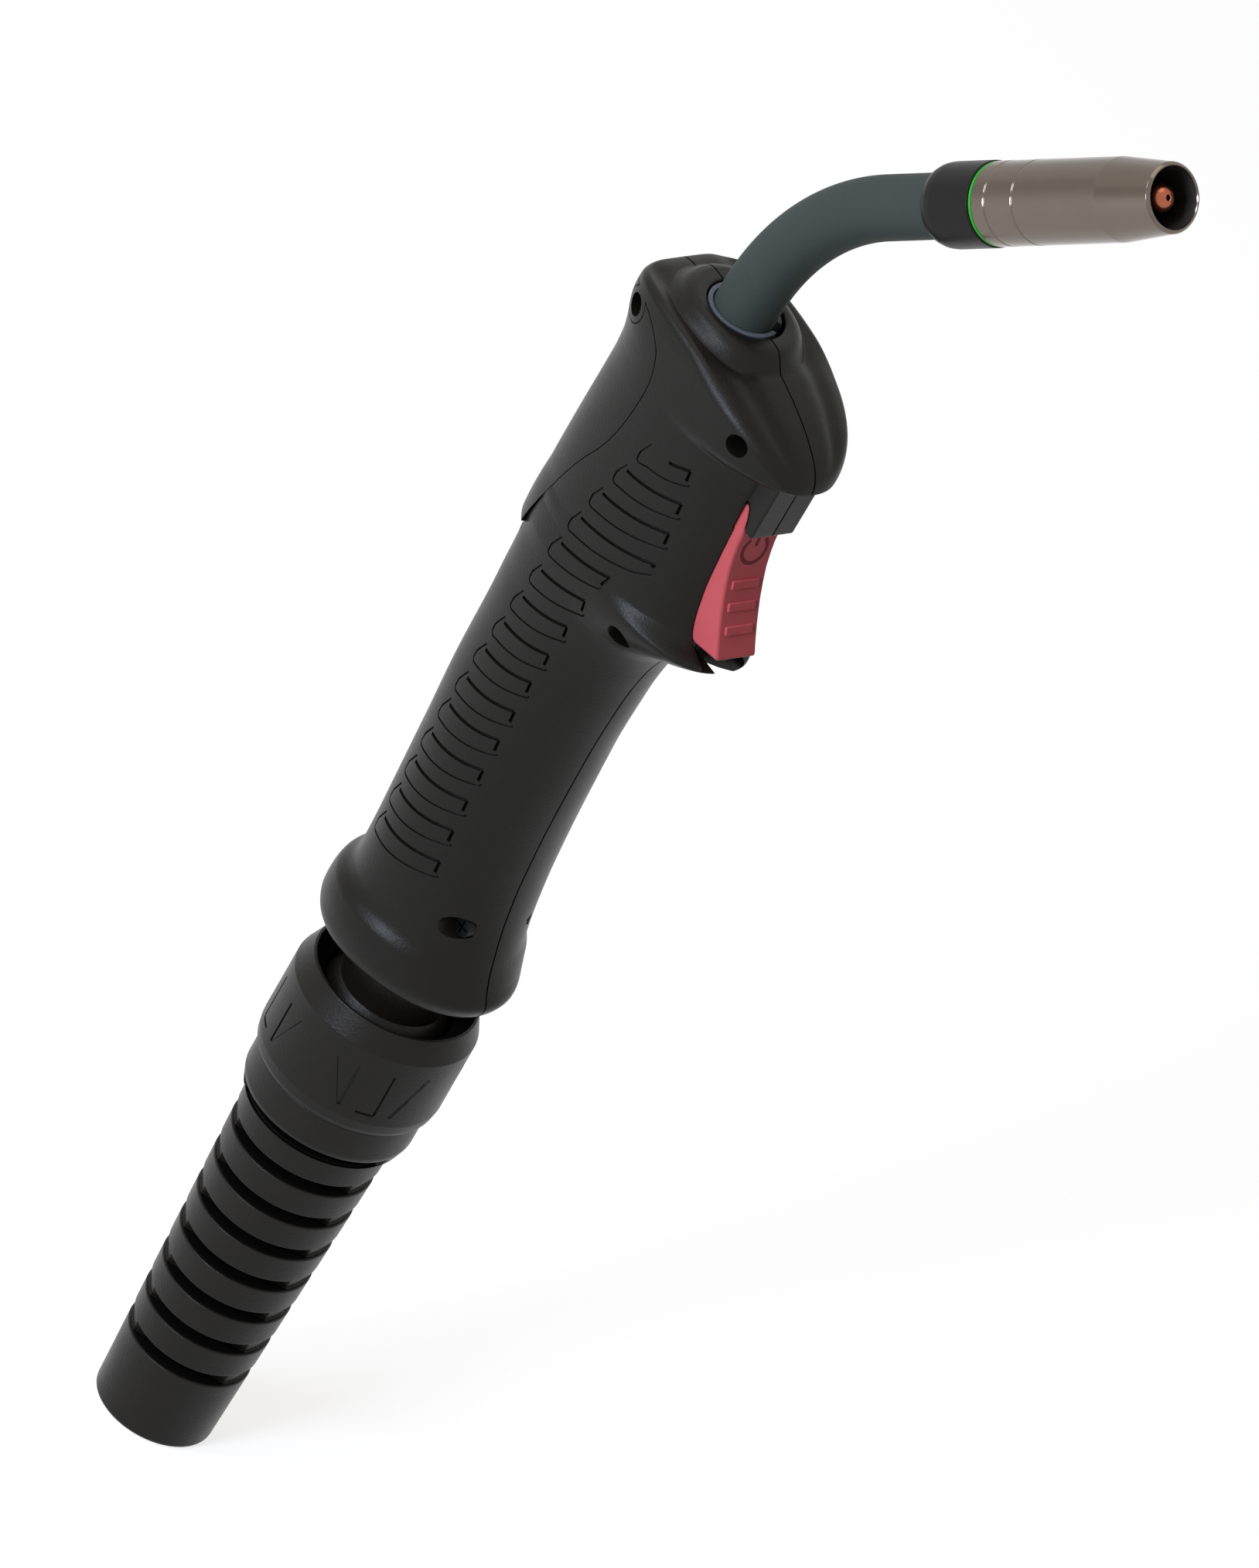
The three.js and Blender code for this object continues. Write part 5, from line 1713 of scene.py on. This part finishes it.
    def sleeve(self) -> Thing:
        """Builds the ribbed sleeve with its slots.

        Returns:
            The piece.
        """
        rear, start, head, deep = self.rear, self.head_start, self.head_radius, self.groove_depth
        outer: list[tuple[float, ...]] = [(self.sleeve_bore, rear, 0.6), (self.rear_radius, rear, 1.3)]
        for low, high in self.groove_spans():
            outer += [
                (self.radius_at(low), rear + low, 0.45), (self.radius_at(low) - deep, rear + low, 0.3),
                (self.radius_at(high) - deep, rear + high, 0.3), (self.radius_at(high), rear + high, 0.45),
            ]
        inner = self.seat_mouth - 0.2
        outer += [
            (self.front_radius, start, 0.4), (head - 1.4, start + 1.8, 2.2), (head, start + 6, 4),
            (head, self.head_top, 0.4), (self.seat_radius, self.head_top), (self.seat_radius, self.seat_floor),
            (inner, self.seat_floor), (inner, self.seat_lip), (self.front_radius - self.sleeve_wall, self.throat),
            (self.sleeve_bore, start, 3),
        ]
        body = tool(turned_mesh(rounded(outer, 5), 192))
        carve(body, Cut.TAKE, joined(self.slots()))
        made = Fitting("sleeve", NYLON, Slot.BLACK, Body.CABLE_END, ("cable_support",)).dress(body)
        # The bore and the saw cuts take painted shade: a darker, rough copy of the nylon.
        paint_shade_inside(made, NYLON_PAINTED_SHADE, self.in_sleeve_shade)
        return made

    def in_sleeve_shade(self, faces: Faces) -> np.ndarray:
        """Tells which faces of the sleeve lie in its bore or in a saw cut; these take the painted shade.

        Args:
            faces: the sleeve's faces.

        Returns:
            True for each such face.
        """
        skin = np.interp(faces.middles[:, 2], (self.rear, self.head_start), (self.rear_radius, self.front_radius))
        level = np.abs(faces.normals[:, 2]) > 0.9
        return (faces.radius < skin - self.groove_depth - 0.1) & (level | (faces.radius < self.sleeve_bore + 0.5))

    def slots(self) -> list[Mesh]:
        """Builds the tools for the straight saw cuts, one from each side in every groove.

        Returns:
            The tools.
        """
        return [
            spun(box_mesh((self.cut_reach, -40, self.rear + low), (60, 40, self.rear + high)), math.radians(turn))
            for low, high in self.groove_spans() for turn in (self.cut_way, self.cut_way + 180)
        ]

    def seat(self) -> Thing:
        """Builds the split seat that holds the ball.

        Returns:
            The piece.
        """
        sphere = self.ball_radius + self.seat_space
        low, high = self.ball_z - self.seat_half, self.ball_z + self.seat_half
        half = math.asin(self.seat_half / sphere)
        inside = [(sphere * math.cos(a), self.ball_z + sphere * math.sin(a)) for a in np.linspace(half, -half, 16)]
        bm = turned_mesh([(self.seat_radius, low), (self.seat_radius, high), *inside], 96)
        # The whole seat takes painted shade, a darker, rough copy of the nylon, as it lies deep inside the collar.
        return Fitting("seat_ring", NYLON_PAINTED_SHADE, Slot.BLACK, Body.CABLE_END, ("ball_seat",)).make(bm)

    def build(self) -> list[Thing]:
        """Builds and dresses the cable end."""
        return [self.ball(), self.seat(), self.collar(), self.sleeve()]


# ---------------------------------------------------------------- carried-over solids
@dataclass(frozen=True)
class Carried:
    """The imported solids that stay, each with its finish."""

    finishes: tuple[tuple[Finish, tuple[str, ...]], ...] = (
        (BLACK_OXIDE, ("screw_nose", "screw_guard", "screw_bell", "screw_back")),
        (ZINC, ("trigger_pin", "trigger_spring", "wire_liner", "nozzle_spring")),
        (MILKY, ("switch_lead_left", "switch_lead_right", "neck_insulation", "gas_diffuser")),
        (BRASS, ("neck_receiver", "tip_holder")),
        (COPPER, ("neck_conductor",)), (SWITCH_PBT, ("microswitch",)), (TRIGGER_ABS, ("switch_plunger",)),
    )

    def dress(self, nodes: dict[str, Thing]) -> None:
        """Gives each solid its material.

        Args:
            nodes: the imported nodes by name.
        """
        for finish, name in ((finish, name) for finish, names in self.finishes for name in names):
            node = nodes[name]
            node.material_slots[0].link = "OBJECT"
            node.material_slots[0].material = finish.material()
            LOG.info("%s: packed solid, %s", name, finish.name)


# ---------------------------------------------------------------- studio
@dataclass(frozen=True)
class Lamp:
    """One soft area lamp. Its place is given in the picture's own directions: right, up and towards the viewer."""

    name: str
    way: tuple[float, float, float]
    distance: float
    size: float
    watts: float
    colour: str


@dataclass
class Studio:
    """The camera, the lamps, the world and the floor."""

    right: Vector = Vector((0.536300, 0.737068, 0.411235))
    up: Vector = Vector((-0.691426, 0.104218, 0.714895))
    back: Vector = Vector((0.484060, -0.667737, 0.565514))
    eye: Vector = Vector((7.07816, -9.71795, 8.24771))
    lens: float = 1300.0
    sensor: float = 36.0
    floor_z: float = -0.2402
    floor_size: float = 12.0
    floor_colour: str = "#c4c2bf"
    floor_glow: float = 0.76  # what makes the seen floor white
    floor_grain: float = 900.0  # bumps per metre
    ambient: float = 0.15
    aim: Vector = Vector((0.02, 0, 0.03))
    lamps: tuple[Lamp, ...] = (
        Lamp("key_cool", (-0.48, 0.14, 0.87), 1.6, 0.46, 17.0, "#dfe9ff"),
        Lamp("key_upper", (-0.34, 0.6, 0.72), 1.6, 0.5, 9.0, "#e2ebff"),
        Lamp("top_soft", (0.3, 0.86, 0.4), 1.6, 1.2, 4.0, "#fff4e4"),
    )

    def camera(self) -> None:
        """Places a long-lens camera at the photograph's angle."""
        data = bpy.data.cameras.new("view")
        data.lens, data.sensor_fit = self.lens, "VERTICAL"
        data.sensor_width = data.sensor_height = self.sensor
        data.clip_start, data.clip_end = 0.1, 60
        cam = linked("view", data)
        turn = Matrix((self.right, self.up, self.back)).transposed().to_4x4()
        cam.matrix_world = Matrix.Translation(self.eye) @ turn
        bpy.context.scene.camera = cam

    def light(self) -> None:
        """Hangs the lamps."""
        for lamp in self.lamps:
            data = bpy.data.lights.new(lamp.name, "AREA")
            data.shape, data.size, data.energy = "DISK", lamp.size, lamp.watts
            data.color = linear(lamp.colour)[:3]
            way = (self.right * lamp.way[0] + self.up * lamp.way[1] + self.back * lamp.way[2]).normalized()
            thing = linked(lamp.name, data)
            thing.location = self.aim + way * lamp.distance
            thing.rotation_mode = "QUATERNION"
            thing.rotation_quaternion = way.to_track_quat("Z", "Y")

    def seen(self, tree: Tree) -> Node:
        """Adds the nodes that tell a ray that shows the background, straight, reflected or passed through.

        Args:
            tree: the node tree.

        Returns:
            The node that is 1 for such a ray.
        """
        path = add_node(tree, "LightPath").outputs
        wires = {0: path["Is Camera Ray"], 1: path["Is Transmission Ray"]}
        first = add_node(tree, "Math", wires, operation="MAXIMUM")
        return add_node(tree, "Math", {0: first, 1: path["Is Glossy Ray"]}, operation="MAXIMUM")

    def world(self) -> None:
        """Sets a white background and a dim even light."""
        world = bpy.data.worlds.new("studio")
        bpy.context.scene.world = world
        tree = emptied(world)
        dim, white = (
            add_node(tree, "Background", {"Color": WHITE, "Strength": strength}) for strength in (self.ambient, 1.0)
        )
        mixed = add_node(tree, "MixShader", {0: self.seen(tree), 1: dim, 2: white})
        add_node(tree, "OutputWorld", {"Surface": mixed})

    def floor(self) -> None:
        """Lays the pale floor, white where it is seen but still with the torch's soft shadow."""
        bm = bmesh.new()
        bmesh.ops.create_grid(bm, x_segments=1, y_segments=1, size=self.floor_size / 2)
        mesh = bpy.data.meshes.new("floor")
        shifted(bm, 0, 0, self.floor_z).to_mesh(mesh)
        bm.free()
        paper = bpy.data.materials.new("paper_sweep_white")
        tree = emptied(paper)
        points = add_node(tree, "TexCoord").outputs["Object"]
        fibre = add_node(tree, "TexNoise", {"Vector": points, "Scale": self.floor_grain, "Detail": 2.0})
        bump = add_node(tree, "Bump", {"Height": fibre, "Distance": 0.0001, "Strength": 0.4})
        matt = add_node(tree, "BsdfDiffuse", {"Color": linear(self.floor_colour), "Normal": bump})
        glow = add_node(tree, "Emission", {"Color": WHITE, "Strength": self.floor_glow})
        lit = add_node(tree, "AddShader", {0: matt, 1: glow})
        mixed = add_node(tree, "MixShader", {0: self.seen(tree), 1: matt, 2: lit})
        add_node(tree, "OutputMaterial", {"Surface": mixed})
        mesh.materials.append(paper)
        linked("floor", mesh)

    def build(self) -> None:
        """Sets up the studio."""
        self.camera()
        self.light()
        self.world()
        self.floor()
        bpy.context.scene.view_settings.view_transform = "Standard"


def main() -> None:
    """Builds the studio and the torch."""
    logging.basicConfig(level=logging.INFO, format="%(name)s: %(message)s")
    Studio().build()
    neck = Neck()
    pieces = [*Handle().build(), *Trigger().build(), *neck.build(), *FrontEnd(neck.axis).build(), *CableEnd().build()]
    Carried().dress(frame["nodes"])
    LOG.info("%d pieces made", len(pieces))


if __name__ == "__main__":
    main()
